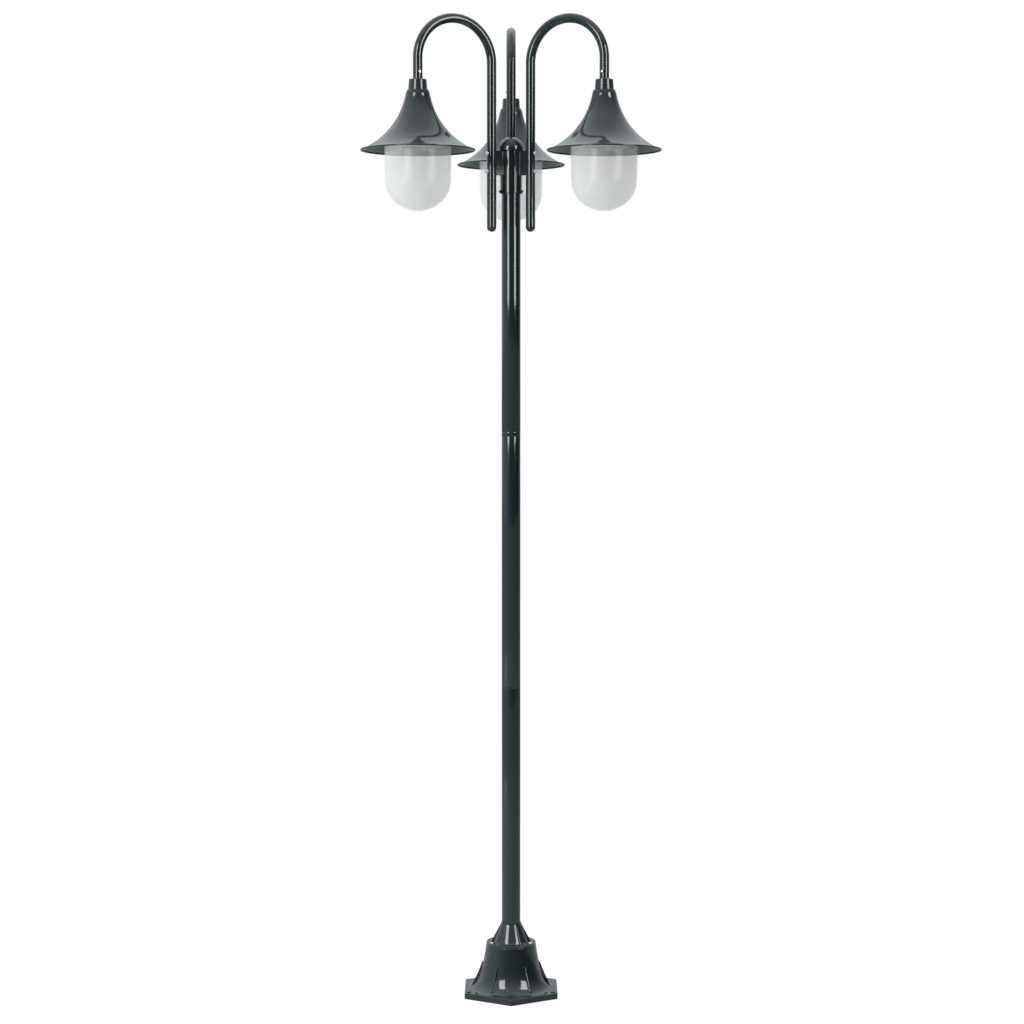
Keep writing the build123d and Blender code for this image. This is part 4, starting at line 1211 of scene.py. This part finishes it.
# ---------------------------------------------------------------- hub
@dataclass
class Hub:
    """Sleeve with three webs, its domed cap and its screws, in millimetres."""

    sleeve_r: float = 24.4
    bore_r: float = 21.3
    cavity_r: float = 15.0
    ledge_z: float = 1846.0
    web_half_t: float = 4.5
    web_h: float = 54.0
    arm_r: float = 10.5
    arm_pitch_r: float = 50.0
    root_r: float = 2.2
    edge_r: float = 0.9
    cap_r: float = 29.5
    cap_skirt_h: float = 3.5
    cap_spigot_r: float = 14.9
    screw_margin: float = 7.0
    set_screw_rise: float = 4.5
    lead_hole_r: float = 3.0
    set_hole_r: float = 2.55
    arm_hole_r: float = 2.05
    washer_r: float = 4.8
    washer_t: float = 1.0
    washer_hole_r: float = 2.1
    cap_wall: float = 3.0
    cap_hollow_h: float = 14.7
    set_screw: PanScrew = PanScrew(2.5, 3.2, 4.0, 6.0)
    arm_screw: PanScrew = PanScrew(2.0, 33.0, 3.8, 3.5)
    arm_screw_turns: tuple = (12.0, 58.0, 33.0, 71.0, 5.0, 40.0)

    def half_plan(self, inset: float) -> list[tuple[float, float]]:
        """Half a web in plan, from its saddle out along +X to the sleeve.

        Args:
            inset: How far the web's outline is drawn in.

        Returns:
            Points of (x, y), with y rising from 0.
        """
        saddle_r = self.arm_r + inset
        half_t = self.web_half_t - inset
        steps = 9
        tip = math.asin(half_t / saddle_r)
        points = []
        for step in range(steps + 1):
            angle = tip * step / steps
            points.append((self.arm_pitch_r - saddle_r * math.cos(angle), saddle_r * math.sin(angle)))
        centre_r = self.sleeve_r + self.root_r
        centre_y = half_t + self.root_r
        centre_x = math.sqrt(centre_r ** 2 - centre_y ** 2)
        start_x = points[-1][0]
        for step in range(1, 6):
            points.append((start_x + (centre_x - start_x) * step / 6, half_t))
        lean = math.atan2(centre_y, centre_x)
        sweep = math.pi / 2 - lean
        for step in range(6):
            angle = -math.pi / 2 - sweep * step / 5
            points.append((centre_x + self.root_r * math.cos(angle), centre_y + self.root_r * math.sin(angle)))
        rest = math.pi / 3 - lean
        for step in range(1, 11):
            angle = lean + rest * step / 10
            points.append((self.sleeve_r * math.cos(angle), self.sleeve_r * math.sin(angle)))
        return points

    def web_ring(self, level: float, inset: float) -> Ring:
        """A ring with all three webs in plan."""
        half = self.half_plan(inset)
        ring: Ring = []
        for lamp in ("back", "left", "right"):
            swing = math.radians(lamp_azimuth(lamp))
            whole = [(x, -y) for x, y in reversed(half[1:])] + half[:-1]
            for x, y in whole:
                ring.append(Vector((x * math.cos(swing) - y * math.sin(swing),
                                    x * math.sin(swing) + y * math.cos(swing), level)))
        return ring

    def round_ring(self, radius: float, level: float) -> Ring:
        """A round ring with a point for each point of the webbed ring."""
        ring: Ring = []
        for point in self.web_ring(level, 0.0):
            angle = math.atan2(point.y, point.x)
            ring.append(polar(radius, angle, level))
        return ring

    def bracket(self) -> Piece:
        """Build the sleeve with its webs, drilled for leads and screws."""
        span = Span.of("hub_bracket")
        foot, top = span.low.z, span.high.z
        web_foot = top - self.web_h
        edge = self.edge_r
        outline = [(self.bore_r, foot), (self.sleeve_r - 1.0, foot), (self.sleeve_r - 0.5, foot + 0.15),
                   (self.sleeve_r - 0.15, foot + 0.5), (self.sleeve_r, foot + 1.0),
                   (self.sleeve_r, foot + 12), (self.sleeve_r, web_foot - 0.3)]
        rings = [self.round_ring(radius, level) for radius, level in outline]
        sides = ((web_foot, edge), (web_foot + edge * 0.15, edge * 0.5), (web_foot + edge * 0.5, edge * 0.15),
                 (web_foot + edge, 0.0), (web_foot + 4 * edge, 0.0), (top - 4 * edge, 0.0), (top - edge, 0.0),
                 (top - edge * 0.5, edge * 0.15), (top - edge * 0.15, edge * 0.5), (top, edge))
        rings.extend(self.web_ring(level, inset) for level, inset in sides)
        for radius, level in ((self.cavity_r, top), (self.cavity_r, self.ledge_z),
                              (self.bore_r, self.ledge_z)):
            rings.append(self.round_ring(radius, level))
        piece = skin("hub_casting", rings)
        tools = []
        middle = (web_foot + top) / 2
        levels = [web_foot + self.screw_margin, top - self.screw_margin]
        for lamp in LAMPS:
            out = towards(lamp)
            set_level = UP * (foot + self.set_screw_rise)
            saddle = out * (self.arm_pitch_r - self.arm_r + 2.5)
            tools.append(drill(self.lead_hole_r, out * 13 + UP * middle, saddle + UP * middle))
            tools.append(drill(self.set_hole_r, out * 19 + set_level, out * 26 + set_level))
            tools.extend(drill(self.arm_hole_r, out * 27.5 + UP * level, saddle + UP * level) for level in levels)
        carve(piece, tools)
        return hand_over(piece, CAST_ENAMEL, "hub_bracket")

    def cap(self) -> Piece:
        """Build the domed cap with its skirt bead and hollow spigot."""
        span = Span.of("hub_cap")
        top = Span.of("hub_bracket").high.z
        shoulder = top + self.cap_skirt_h
        dome_h = span.high.z - shoulder
        bore = self.cap_spigot_r - self.cap_wall
        outline = softened([(bore, span.low.z, 0.4), (self.cap_spigot_r, span.low.z, 0.8),
                            (self.cap_spigot_r, top, 0), (self.cap_r, top, 0.8), (self.cap_r, shoulder, 0)], 4)
        steps = 24
        for step in range(1, steps):
            angle = math.pi / 2 * step / steps
            outline.append((self.cap_r * math.cos(angle), shoulder + dome_h * math.sin(angle)))
        hollow_z = shoulder + self.cap_hollow_h
        outline += [(0, span.high.z), (0, hollow_z), (bore, hollow_z)]
        piece = lathe("hub_dome", outline, 96, 40.0)
        return hand_over(piece, CAST_ENAMEL, "hub_cap")

    def screws(self) -> None:
        """Build the set screws, the arm screws and their washers."""
        span = Span.of("hub_bracket")
        levels = [span.high.z - self.web_h + self.screw_margin, span.high.z - self.screw_margin]
        set_level = span.low.z + self.set_screw_rise
        places = [outward(lamp_azimuth(lamp), self.sleeve_r, set_level) for lamp in LAMPS]
        set_screws = scatter("hub_grub_screws", self.set_screw.pattern("set_screw"), places)
        hand_over(set_screws, SCREW_ENAMEL, "hub_set_screws")
        face = self.arm_pitch_r + self.arm_r
        spots = [(lamp_azimuth(lamp), level) for lamp in LAMPS for level in levels]
        places = [outward(azimuth, face + self.washer_t, level, turn)
                  for (azimuth, level), turn in zip(spots, self.arm_screw_turns)]
        arm_screws = scatter("arm_pan_screws", self.arm_screw.pattern("arm_screw"), places)
        hand_over(arm_screws, BRIGHT_STEEL, "arm_screws")
        hole_r, outer_r, high = self.washer_hole_r, self.washer_r, self.washer_t
        rounded = softened([(hole_r, 0, 0.1), (outer_r, 0, 0.25), (outer_r, high, 0.35), (hole_r, high, 0.2)], 3)
        places = [outward(azimuth, face, level) for azimuth, level in spots]
        washers = scatter("arm_screw_washers", lathe("washer", rounded, 48), places)
        hand_over(washers, BRIGHT_STEEL, "arm_washers")

    def build(self) -> None:
        """Build the hub with all that is screwed to it."""
        self.bracket()
        self.cap()
        self.screws()


# ---------------------------------------------------------------- arms
@dataclass
class Arm:
    """A swan-neck tube with its end plug, in millimetres."""

    lamp: str
    radius: float = 10.5
    wall: float = 1.5
    pitch_r: float = 50.0
    bend_r: float = 92.5
    lock_rise: float = 16.0
    lock_side: int = 1
    collar_ledge: float = 7.0
    screw_hole_r: float = 2.1
    screw_drops: tuple = (47.0, 7.0)
    lead_hole_r: float = 4.0
    lead_drop: float = 27.0
    lock_hole_r: float = 2.05
    sides: int = 72

    def stations(self) -> list[tuple[float, float, float]]:
        """Points of (reach, level, lean in radians) along the tube's middle."""
        span = Span.of("arm_tube_" + self.lamp)
        bend_z = span.high.z - self.radius - self.bend_r
        outer_r = self.pitch_r + 2 * self.bend_r
        outer_foot = Span.of("neck_collar_" + self.lamp).low.z + self.collar_ledge
        low = span.low.z
        legs = [(self.pitch_r, low + (bend_z - low) * share, 0.0)
                for share in (0, 0.01, 0.25, 0.5, 0.75, 0.97)]
        steps = 72
        bend = []
        for step in range(steps + 1):
            angle = math.pi * step / steps
            bend.append((self.pitch_r + self.bend_r * (1 - math.cos(angle)),
                         bend_z + self.bend_r * math.sin(angle), angle))
        outer = [(outer_r, bend_z + (outer_foot - bend_z) * share, math.pi)
                 for share in (0.06, 0.5, 0.97, 1.0)]
        return legs + bend + outer

    def hoop(self, station: tuple[float, float, float], radius: float) -> Ring:
        """A ring square to the tube at a station."""
        reach, level, lean = station
        swing = math.radians(lamp_azimuth(self.lamp))
        ring: Ring = []
        for index in range(self.sides):
            angle = 2 * math.pi * index / self.sides
            across = radius * math.cos(angle)
            aside = radius * math.sin(angle)
            x = reach + across * math.cos(lean)
            ring.append(Vector((x * math.cos(swing) - aside * math.sin(swing),
                                x * math.sin(swing) + aside * math.cos(swing),
                                level - across * math.sin(lean))))
        return ring

    def tube(self) -> Piece:
        """Build the bent tube, drilled for its screws and its lead."""
        stations = self.stations()
        bore = self.radius - self.wall
        first, last = stations[0], stations[-1]
        rings = [self.hoop(first, self.radius - 0.35)]
        rings += [self.hoop((first[0], first[1] + 0.12, 0.0), self.radius - 0.1)]
        rings += [self.hoop(station, self.radius) for station in stations[1:-1]]
        rings += [self.hoop((last[0], last[1] + 0.12, math.pi), self.radius - 0.1)]
        rings += [self.hoop(last, self.radius - 0.35)]
        rings += [self.hoop(station, bore) for station in reversed(stations)]
        piece = skin("swan_neck_" + self.lamp, rings)
        out = towards(self.lamp)
        aside = UP.cross(out) * self.lock_side
        hub_top = Span.of("hub_bracket").high.z
        near = out * (self.pitch_r - 13)
        tools = []
        for drop in self.screw_drops:
            level = UP * (hub_top - drop)
            tools.append(drill(self.screw_hole_r, near + level, out * (self.pitch_r + 13) + level))
        level = UP * (hub_top - self.lead_drop)
        tools.append(drill(self.lead_hole_r, near + level, out * (self.pitch_r - 4) + level))
        lock_z = Span.of("neck_collar_" + self.lamp).high.z + self.lock_rise
        leg = out * (self.pitch_r + 2 * self.bend_r) + UP * lock_z
        tools.append(drill(self.lock_hole_r, leg + aside * 5, leg + aside * 14))
        carve(piece, tools)
        return hand_over(piece, TUBE_ENAMEL, "arm_tube_" + self.lamp)

    def plug(self) -> Piece:
        """Build the rounded plug in the inner leg's lower end."""
        span = Span.of("arm_end_plug_" + self.lamp)
        joint = span.low.z + self.radius
        spigot = self.radius - self.wall - 0.1
        outline: Outline = [(0, span.low.z)]
        steps = 18
        for step in range(1, steps):
            angle = math.pi / 2 * step / steps
            outline.append((self.radius * math.sin(angle), joint - self.radius * math.cos(angle)))
        outline += [(self.radius - 0.05, joint - 0.25), (self.radius - 0.4, joint), (spigot, joint),
                    (spigot, span.high.z - 1), (spigot - 1, span.high.z), (0, span.high.z)]
        piece = lathe("leg_plug_" + self.lamp, outline, 64)
        piece.data.transform(Matrix.Translation(Vector((span.middle.x, span.middle.y, 0)) * MM))
        return hand_over(piece, PLUG_ENAMEL, "arm_end_plug_" + self.lamp)

    def lock_place(self) -> Matrix:
        """Placing of the small screw that locks the lamp's stem."""
        swing = math.radians(lamp_azimuth(self.lamp))
        level = Span.of("neck_collar_" + self.lamp).high.z + self.lock_rise
        at = Vector((self.pitch_r + 2 * self.bend_r, self.lock_side * self.radius, level)) * MM
        tip = Matrix.Rotation(math.radians(-90 * self.lock_side), 4, "X")
        return Matrix.Rotation(swing, 4, "Z") @ Matrix.Translation(at) @ tip

    def build(self) -> None:
        """Build the tube and its plug."""
        self.tube()
        self.plug()


# ---------------------------------------------------------------- lamp heads
@dataclass
class LampHead:
    """A hanging lantern: collar, shade, lampholder, thread shell, globe and gasket, in millimetres."""

    lamp: str
    stem_r: float = 8.9
    collar_top_r: float = 19.4
    collar_foot_r: float = 20.8
    collar_lip: float = 0.8
    collar_lip_h: float = 2.0
    tube_bore_r: float = 10.6
    shade_wall: float = 1.5
    crown_r: float = 23.9
    neck_r: float = 26.3
    neck_drop: float = 7.0
    arc_r: float = 166.0
    bead_r: float = 1.8
    holder_r: float = 24.0
    skirt_r: float = 19.0
    skirt_h: float = 13.0
    socket_r: float = 14.3
    socket_depth: float = 28.0
    shell_pitch: float = 3.62
    globe_wall: float = 2.5
    globe_dome_h: float = 67.0
    globe_draft: float = 1.7
    lug_drop: float = 7.0
    lug_h: float = 4.0
    lug_half_w: float = 4.0
    lug_reach: float = 2.5

    def place(self, piece: Piece) -> Piece:
        """Move a piece's mesh from the pole's axis to the lamp's own axis, turned to face it."""
        middle = Span.of("globe_" + self.lamp).middle
        turn = Matrix.Rotation(math.radians(lamp_azimuth(self.lamp)), 4, "Z")
        piece.data.transform(Matrix.Translation(Vector((middle.x, middle.y, 0)) * MM) @ turn)
        return piece

    def collar(self) -> Piece:
        """Build the tapered collar over the joint of arm and shade."""
        node = "neck_collar_" + self.lamp
        span = Span.of(node)
        low, high = span.low.z, span.high.z
        ledge = low + 7.0
        lip_r = self.collar_foot_r + self.collar_lip
        outline = softened([(self.stem_r + 0.1, low, 0.3), (lip_r, low, 0.3), (lip_r, low + self.collar_lip_h, 0.5),
                            (self.collar_foot_r, low + self.collar_lip_h, 0.3), (self.collar_top_r, high, 0.9),
                            (self.tube_bore_r, high, 0.5), (self.tube_bore_r, ledge, 0),
                            (self.stem_r + 0.1, ledge, 0)], 5)
        piece = self.place(lathe("collar_" + self.lamp, outline, 96))
        return hand_over(piece, CAST_ENAMEL, node)

    def flare(self, radius: float, top: float, rim: tuple[float, float]) -> Outline:
        """The shade's hollow sweep from its neck to its rim.

        Args:
            radius: Radius of the sweep, larger for the inner face.
            top: Level of the shade's crown.
            rim: Where the sweep ends, as (radius, level).

        Returns:
            Points along the sweep.
        """
        neck = Vector((self.neck_r, top - self.neck_drop))
        end = Vector(rim)
        chord = end - neck
        along = chord.normalized()
        lift = math.sqrt(self.arc_r ** 2 - chord.length_squared / 4)
        centre = (neck + end) / 2 + Vector((-along.y, along.x)) * lift
        start = math.atan2(neck.y - centre.y, neck.x - centre.x)
        turn = math.remainder(math.atan2(end.y - centre.y, end.x - centre.x) - start, 2 * math.pi)
        steps = 56
        return [(centre.x + radius * math.cos(start + turn * step / steps),
                 centre.y + radius * math.sin(start + turn * step / steps)) for step in range(steps + 1)]

    def shade(self) -> Piece:
        """Build the spun shade with its crown, sweep and rolled rim."""
        node = "shade_" + self.lamp
        span = Span.of(node)
        top = span.high.z
        bead = (span.radius - self.bead_r, span.low.z + self.bead_r)
        outer = self.flare(self.arc_r, top, bead)
        inner = self.flare(self.arc_r + self.shade_wall, top, bead)
        under = top - self.shade_wall
        crown = softened([(self.stem_r + 0.1, under, 0), (self.stem_r + 0.1, top, 0), (self.crown_r, top, 1.1),
                          (self.neck_r - 0.02, top - self.neck_drop + 0.1, 0)], 6)
        outline = crown + outer[1:-3]
        lean = math.atan2(outer[-1][1] - outer[-4][1], outer[-1][0] - outer[-4][0])
        start = lean + math.radians(105)
        for step in range(17):
            angle = start - math.radians(290) * step / 16
            outline.append((bead[0] + self.bead_r * math.cos(angle), bead[1] + self.bead_r * math.sin(angle)))
        outline += list(reversed(inner))[3:]
        outline.append((self.crown_r - self.shade_wall, under))
        piece = self.place(lathe("trumpet_" + self.lamp, outline, 192, 40.0))
        return hand_over(piece, SPUN_ENAMEL, node)

    def lampholder(self) -> Piece:
        """Build the glazed lampholder with its socket facing down."""
        node = "lampholder_" + self.lamp
        span = Span.of(node)
        mouth, top = span.low.z, span.high.z
        shoulder = mouth + self.skirt_h
        roof = mouth + self.socket_depth
        outline = softened([(0, roof + 12, 0), (1.55, roof + 12, 0), (1.55, roof, 0.3), (self.socket_r, roof, 0.6),
                            (self.socket_r, mouth, 0.8), (self.skirt_r, mouth, 1.4), (self.skirt_r, shoulder, 0.5),
                            (self.holder_r, shoulder, 1.0), (self.holder_r, top, 6.0), (self.stem_r + 0.05, top, 0.6),
                            (self.stem_r + 0.05, top - 4, 0), (0, top - 4, 0)], 6)
        piece = self.place(lathe("porcelain_" + self.lamp, outline, 96))
        return hand_over(piece, PORCELAIN, node)

    def shell(self) -> Piece:
        """Build the brass shell with its rolled thread."""
        node = "screw_shell_" + self.lamp
        span = Span.of(node)
        low, high = span.low.z, span.high.z
        sides, rows = 72, 96
        middle_r, swell, half_t = 13.75, 0.3, 0.15
        faces: list[list[Ring]] = []
        for offset in (half_t, -half_t):
            side = []
            for row in range(rows + 1):
                level = low + (high - low) * row / rows
                fade = ramp(0, 3, level - low) * ramp(0, 2, high - level)
                ring: Ring = []
                for index in range(sides):
                    angle = 2 * math.pi * index / sides
                    wave = math.cos(2 * math.pi * level / self.shell_pitch - angle)
                    radius = middle_r + swell * wave * fade + offset
                    ring.append(polar(radius, angle, level))
                side.append(ring)
            faces.append(side)
        piece = self.place(skin("thread_shell_" + self.lamp, faces[0] + list(reversed(faces[1]))))
        return hand_over(piece, BRASS, node)

    def globe(self) -> Piece:
        """Build the clear cup with its three bayonet lugs."""
        node = "globe_" + self.lamp
        span = Span.of(node)
        rim_r = span.radius
        rim_z = span.high.z
        bottom = span.low.z
        low_z = bottom + self.globe_dome_h
        low_r = rim_r - self.globe_draft
        wall = self.globe_wall
        lug_top = rim_z - self.lug_drop
        angles = self.globe_columns(rim_r - wall)
        rings: list[Ring] = [[Vector((0, 0, bottom))]]
        rows = 30
        for row in range(1, rows):
            angle = math.pi / 2 * row / rows
            rings.append(self.plain(low_r * math.sin(angle), low_z - self.globe_dome_h * math.cos(angle), angles))
        rings.append(self.plain(low_r, low_z, angles))
        for share in (0.25, 0.5, 0.75):
            rings.append(self.plain(low_r + self.globe_draft * share, low_z + (rim_z - low_z) * share, angles))
        lip = softened([(rim_r, rim_z - 4, 0), (rim_r, rim_z, 0.9), (rim_r - wall, rim_z, 0.9),
                        (rim_r - wall, rim_z - 4, 0)], 5)
        rings.extend(self.plain(radius, level, angles) for radius, level in lip)
        inner_r = rim_r - wall
        fade = 0.5
        for level, share in ((lug_top + 0.4, 0.0), (lug_top, 0.55), (lug_top - fade, 1.0),
                             (lug_top - self.lug_h + fade, 1.0), (lug_top - self.lug_h, 0.55),
                             (lug_top - self.lug_h - 0.4, 0.0)):
            rings.append(self.lugged(inner_r, level, share, angles))
        for share in (0.75, 0.5, 0.25, 0.0):
            rings.append(self.plain(low_r - wall + self.globe_draft * share, low_z + (rim_z - low_z) * share, angles))
        depth = self.globe_dome_h - wall
        for row in range(rows - 1, 0, -1):
            angle = math.pi / 2 * row / rows
            rings.append(self.plain((low_r - wall) * math.sin(angle), low_z - depth * math.cos(angle), angles))
        rings.append([Vector((0, 0, bottom + wall))])
        piece = self.place(skin("clear_cup_" + self.lamp, rings, False, 50.0))
        return hand_over(piece, GLOBE_CLEAR, node, Body.GLOBE, self.lamp)

    def globe_columns(self, radius: float) -> list[tuple[float, float]]:
        """Angles round the globe with the distance from the nearest lug's middle."""
        sector = 2 * math.pi / 3
        near = [0.0, self.lug_half_w - 1.2, self.lug_half_w - 0.5, self.lug_half_w, self.lug_half_w + 0.4]
        half = [offset / radius for offset in near]
        steps = 26
        half += [half[-1] + (sector / 2 - half[-1]) * step / steps for step in range(1, steps + 1)]
        angles = []
        for index in range(3):
            angles.extend(sector * index + angle for angle in half[:-1])
            angles.extend(sector * (index + 1) - angle for angle in reversed(half[1:]))
        return [(angle, abs(math.remainder(angle, sector)) * radius) for angle in angles]

    def plain(self, radius: float, level: float, angles: list[tuple[float, float]]) -> Ring:
        """A round ring at the given columns."""
        return [polar(radius, angle, level) for angle, _ in angles]

    def lugged(self, radius: float, level: float, share: float, angles: list[tuple[float, float]]) -> Ring:
        """A ring of the inner wall with the lugs standing inwards."""
        ring: Ring = []
        for angle, offset in angles:
            rise = share * (1 - ramp(self.lug_half_w - 0.6, self.lug_half_w + 0.35, offset))
            out = radius - self.lug_reach * rise
            ring.append(polar(out, angle, level))
        return ring

    def gasket(self) -> Piece:
        """Build the soft ring on the globe's rim."""
        node = "globe_gasket_" + self.lamp
        span = Span.of(node)
        outer = span.radius
        outline = softened([(outer - 3.7, span.low.z, 0.6), (outer, span.low.z, 0.9), (outer, span.high.z, 0.9),
                            (outer - 3.7, span.high.z, 0.6)], 5)
        piece = self.place(lathe("seal_" + self.lamp, outline, 128))
        return hand_over(piece, SEAL_RUBBER, node, Body.GASKET, self.lamp)

    def build(self) -> None:
        """Build the lantern's collar, shade, lampholder, shell, globe and gasket."""
        self.collar()
        self.shade()
        self.lampholder()
        self.shell()
        self.globe()
        self.gasket()


@dataclass
class Arms:
    """The three arms, their lanterns and the small lock screws."""

    lock_sides: tuple[tuple[str, int], ...] = (("left", 1), ("right", -1), ("back", 1))

    def build(self) -> None:
        """Build every arm with its lantern, then the lock screws."""
        places = []
        for lamp, side in self.lock_sides:
            arm = Arm(lamp, lock_side=side)
            arm.build()
            LampHead(lamp).build()
            places.append(arm.lock_place())
        screw = PanScrew(2.0, 1.6, 3.2, 2.0).pattern("lock_screw")
        screws = scatter("lamp_pan_screws", screw, places)
        hand_over(screws, BRIGHT_STEEL, "lamp_lock_screws")


# ---------------------------------------------------------------- nodes that stay
@dataclass(frozen=True)
class CarriedOver:
    """Nodes of the frame that keep their shape and get a finish."""

    finishes: tuple[tuple[Finish, tuple[str, ...]], ...] = (
        (ZINC_STEEL, ("terminal_bracket", "bracket_screws", "stem_nipples", "lock_nuts")),
        (WHITE_PLASTIC, ("holder_rings", "terminal_block")),
        (BRASS, ("earth_screw", "centre_contact_left", "centre_contact_right", "centre_contact_back")),
        (WHITE_ENAMEL, ("globe_carrier_left", "globe_carrier_right", "globe_carrier_back")),
        (BLACK_PLASTIC, ("cable_gland", "gland_nut")),
        (SHEATH, ("supply_cable", "cable_joint", "lamp_lead_left", "lamp_lead_right", "lamp_lead_back")),
    )

    def build(self) -> None:
        """Dress every node that stays."""
        for finish, nodes in self.finishes:
            for node in nodes:
                finish.dress(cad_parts[node])
                LOG.info("%s keeps its shape in %s", node, finish.name)


# ---------------------------------------------------------------- studio
@dataclass(frozen=True)
class Softbox:
    """A large soft light, in metres."""

    name: str
    at: tuple[float, float, float]
    aim: tuple[float, float, float]
    width: float
    height: float
    power: float
    matte: bool = False

    def build(self) -> None:
        """Add the light."""
        data = bpy.data.lights.new(self.name, "AREA")
        data.shape = "RECTANGLE"
        data.size = self.width
        data.size_y = self.height
        data.energy = self.power
        light = bpy.data.objects.new(self.name, data)
        light.location = self.at
        run = Vector(self.aim) - Vector(self.at)
        light.rotation_euler = run.to_track_quat("-Z", "Y").to_euler()
        light.visible_camera = False
        light.visible_diffuse = self.matte
        light.visible_glossy = not self.matte
        bpy.context.scene.collection.objects.link(light)
        LOG.info("light %s", self.name)


@dataclass
class Studio:
    """Pale floor, soft lights, surroundings and the camera, in metres."""

    floor_half: float = 60.0
    camera_at: tuple[float, float, float] = (0.0021, -5.1763, 1.3976)
    pitch: float = 3.313
    lens: float = 80.79

    def floor(self) -> None:
        """Lay the pale floor: evenly white to the camera, and a painted pool of light, brightest near the post, to
        reflections and bounced light.
        """
        half = self.floor_half / MM
        level = CAD_LOW.z / MM - 0.2
        corners = [Vector((x * half, y * half, level)) for x, y in ((-1, -1), (1, -1), (1, 1), (-1, 1))]
        mesh = bpy.data.meshes.new("floor")
        mesh.from_pydata([corner * MM for corner in corners], [], [(0, 1, 2, 3)])
        plane = bpy.data.objects.new("floor", mesh)
        bpy.context.scene.collection.objects.link(plane)
        made = bpy.data.materials.new("pale_floor")
        made.use_nodes = True
        made.node_tree.nodes.clear()
        graph = Graph(made.node_tree)
        path = graph.add("ShaderNodeLightPath")
        seen = graph.maths("MAXIMUM", path.outputs["Is Camera Ray"], path.outputs["Is Transmission Ray"])
        spot = graph.add("ShaderNodeVectorMath", {0: graph.place()}, operation="LENGTH").outputs["Value"]
        # Painted pool of light: for all but camera rays the floor glows brighter near the post and fades out by five
        # metres.
        near = graph.mapped(spot, 0.6, 5.0, 0.22, 0.04)
        strength = graph.add("ShaderNodeMix", {0: seen, 2: near, 3: 0.8}, data_type="FLOAT").outputs[0]
        glow = graph.add("ShaderNodeEmission", {"Color": (1, 1, 1, 1), "Strength": strength})
        matte = graph.add("ShaderNodeBsdfDiffuse", {"Color": (0.3, 0.3, 0.3, 1)})
        both = graph.add("ShaderNodeAddShader", {0: glow.outputs[0], 1: matte.outputs[0]})
        graph.add("ShaderNodeOutputMaterial", {"Surface": both.outputs[0]})
        plane.data.materials.append(made)

    def surroundings(self) -> None:
        """Set the surroundings: white to look at, shaded softly for reflections."""
        world = bpy.data.worlds.new("studio")
        bpy.context.scene.world = world
        world.use_nodes = True
        world.node_tree.nodes.clear()
        graph = Graph(world.node_tree)
        path = graph.add("ShaderNodeLightPath")
        seen = graph.maths("MAXIMUM", path.outputs["Is Camera Ray"], path.outputs["Is Transmission Ray"])
        look = graph.add("ShaderNodeTexCoord").outputs["Generated"]
        axes = graph.add("ShaderNodeSeparateXYZ", {0: look})
        behind = graph.mapped(axes.outputs["Y"], 0.1, 0.8, 0.0, 0.5)
        leftward = graph.mapped(axes.outputs["X"], -0.35, -0.95, 0.0, 0.45)
        upward = graph.mapped(axes.outputs["Z"], 0.25, 0.85, 0.0, 1.0)
        total = graph.maths("ADD", graph.maths("ADD", behind, leftward), graph.maths("ADD", upward, 0.02))
        strength = graph.add("ShaderNodeMix", {0: seen, 2: total, 3: 1.0}, data_type="FLOAT").outputs[0]
        tint = graph.blend(seen, (0.93, 1.0, 1.03), (1.0, 1.0, 1.0))
        glow = graph.add("ShaderNodeBackground", {"Color": tint, "Strength": strength})
        graph.add("ShaderNodeOutputWorld", {"Surface": glow.outputs[0]})

    def lights(self) -> None:
        """Hang the softboxes."""
        Softbox("softbox_left", (-2.25, -3.33, 3.04), (0.0, 0.0, 3.04), 1.53, 2.7, 104.0).build()
        Softbox("softbox_right", (3.04, -2.6, 3.04), (0.0, 0.0, 3.04), 1.66, 2.7, 112.0).build()
        Softbox("broad_left", (-3.2, -1.2, 1.2), (0.0, 0.0, 1.0), 1.6, 2.6, 100.0, True).build()

    def camera(self) -> None:
        """Set the camera."""
        data = bpy.data.cameras.new("camera")
        data.sensor_width = 36.0
        data.lens = self.lens
        eye = bpy.data.objects.new("camera", data)
        eye.location = self.camera_at
        eye.rotation_euler = (math.radians(90 - self.pitch), 0, 0)
        bpy.context.scene.collection.objects.link(eye)
        bpy.context.scene.camera = eye

    def build(self) -> None:
        """Set up the whole studio."""
        bpy.context.scene.view_settings.view_transform = "Standard"
        self.camera()
        self.floor()
        self.surroundings()
        self.lights()


def main() -> None:
    """Build the studio and the lamp post, and report each piece."""
    logging.basicConfig(level=logging.INFO, format="%(message)s")
    Studio().build()
    FootCasting().build()
    PoleSocket().build()
    Pole().build()
    Hub().build()
    Arms().build()
    CarriedOver().build()


if __name__ == "__main__":
    main()
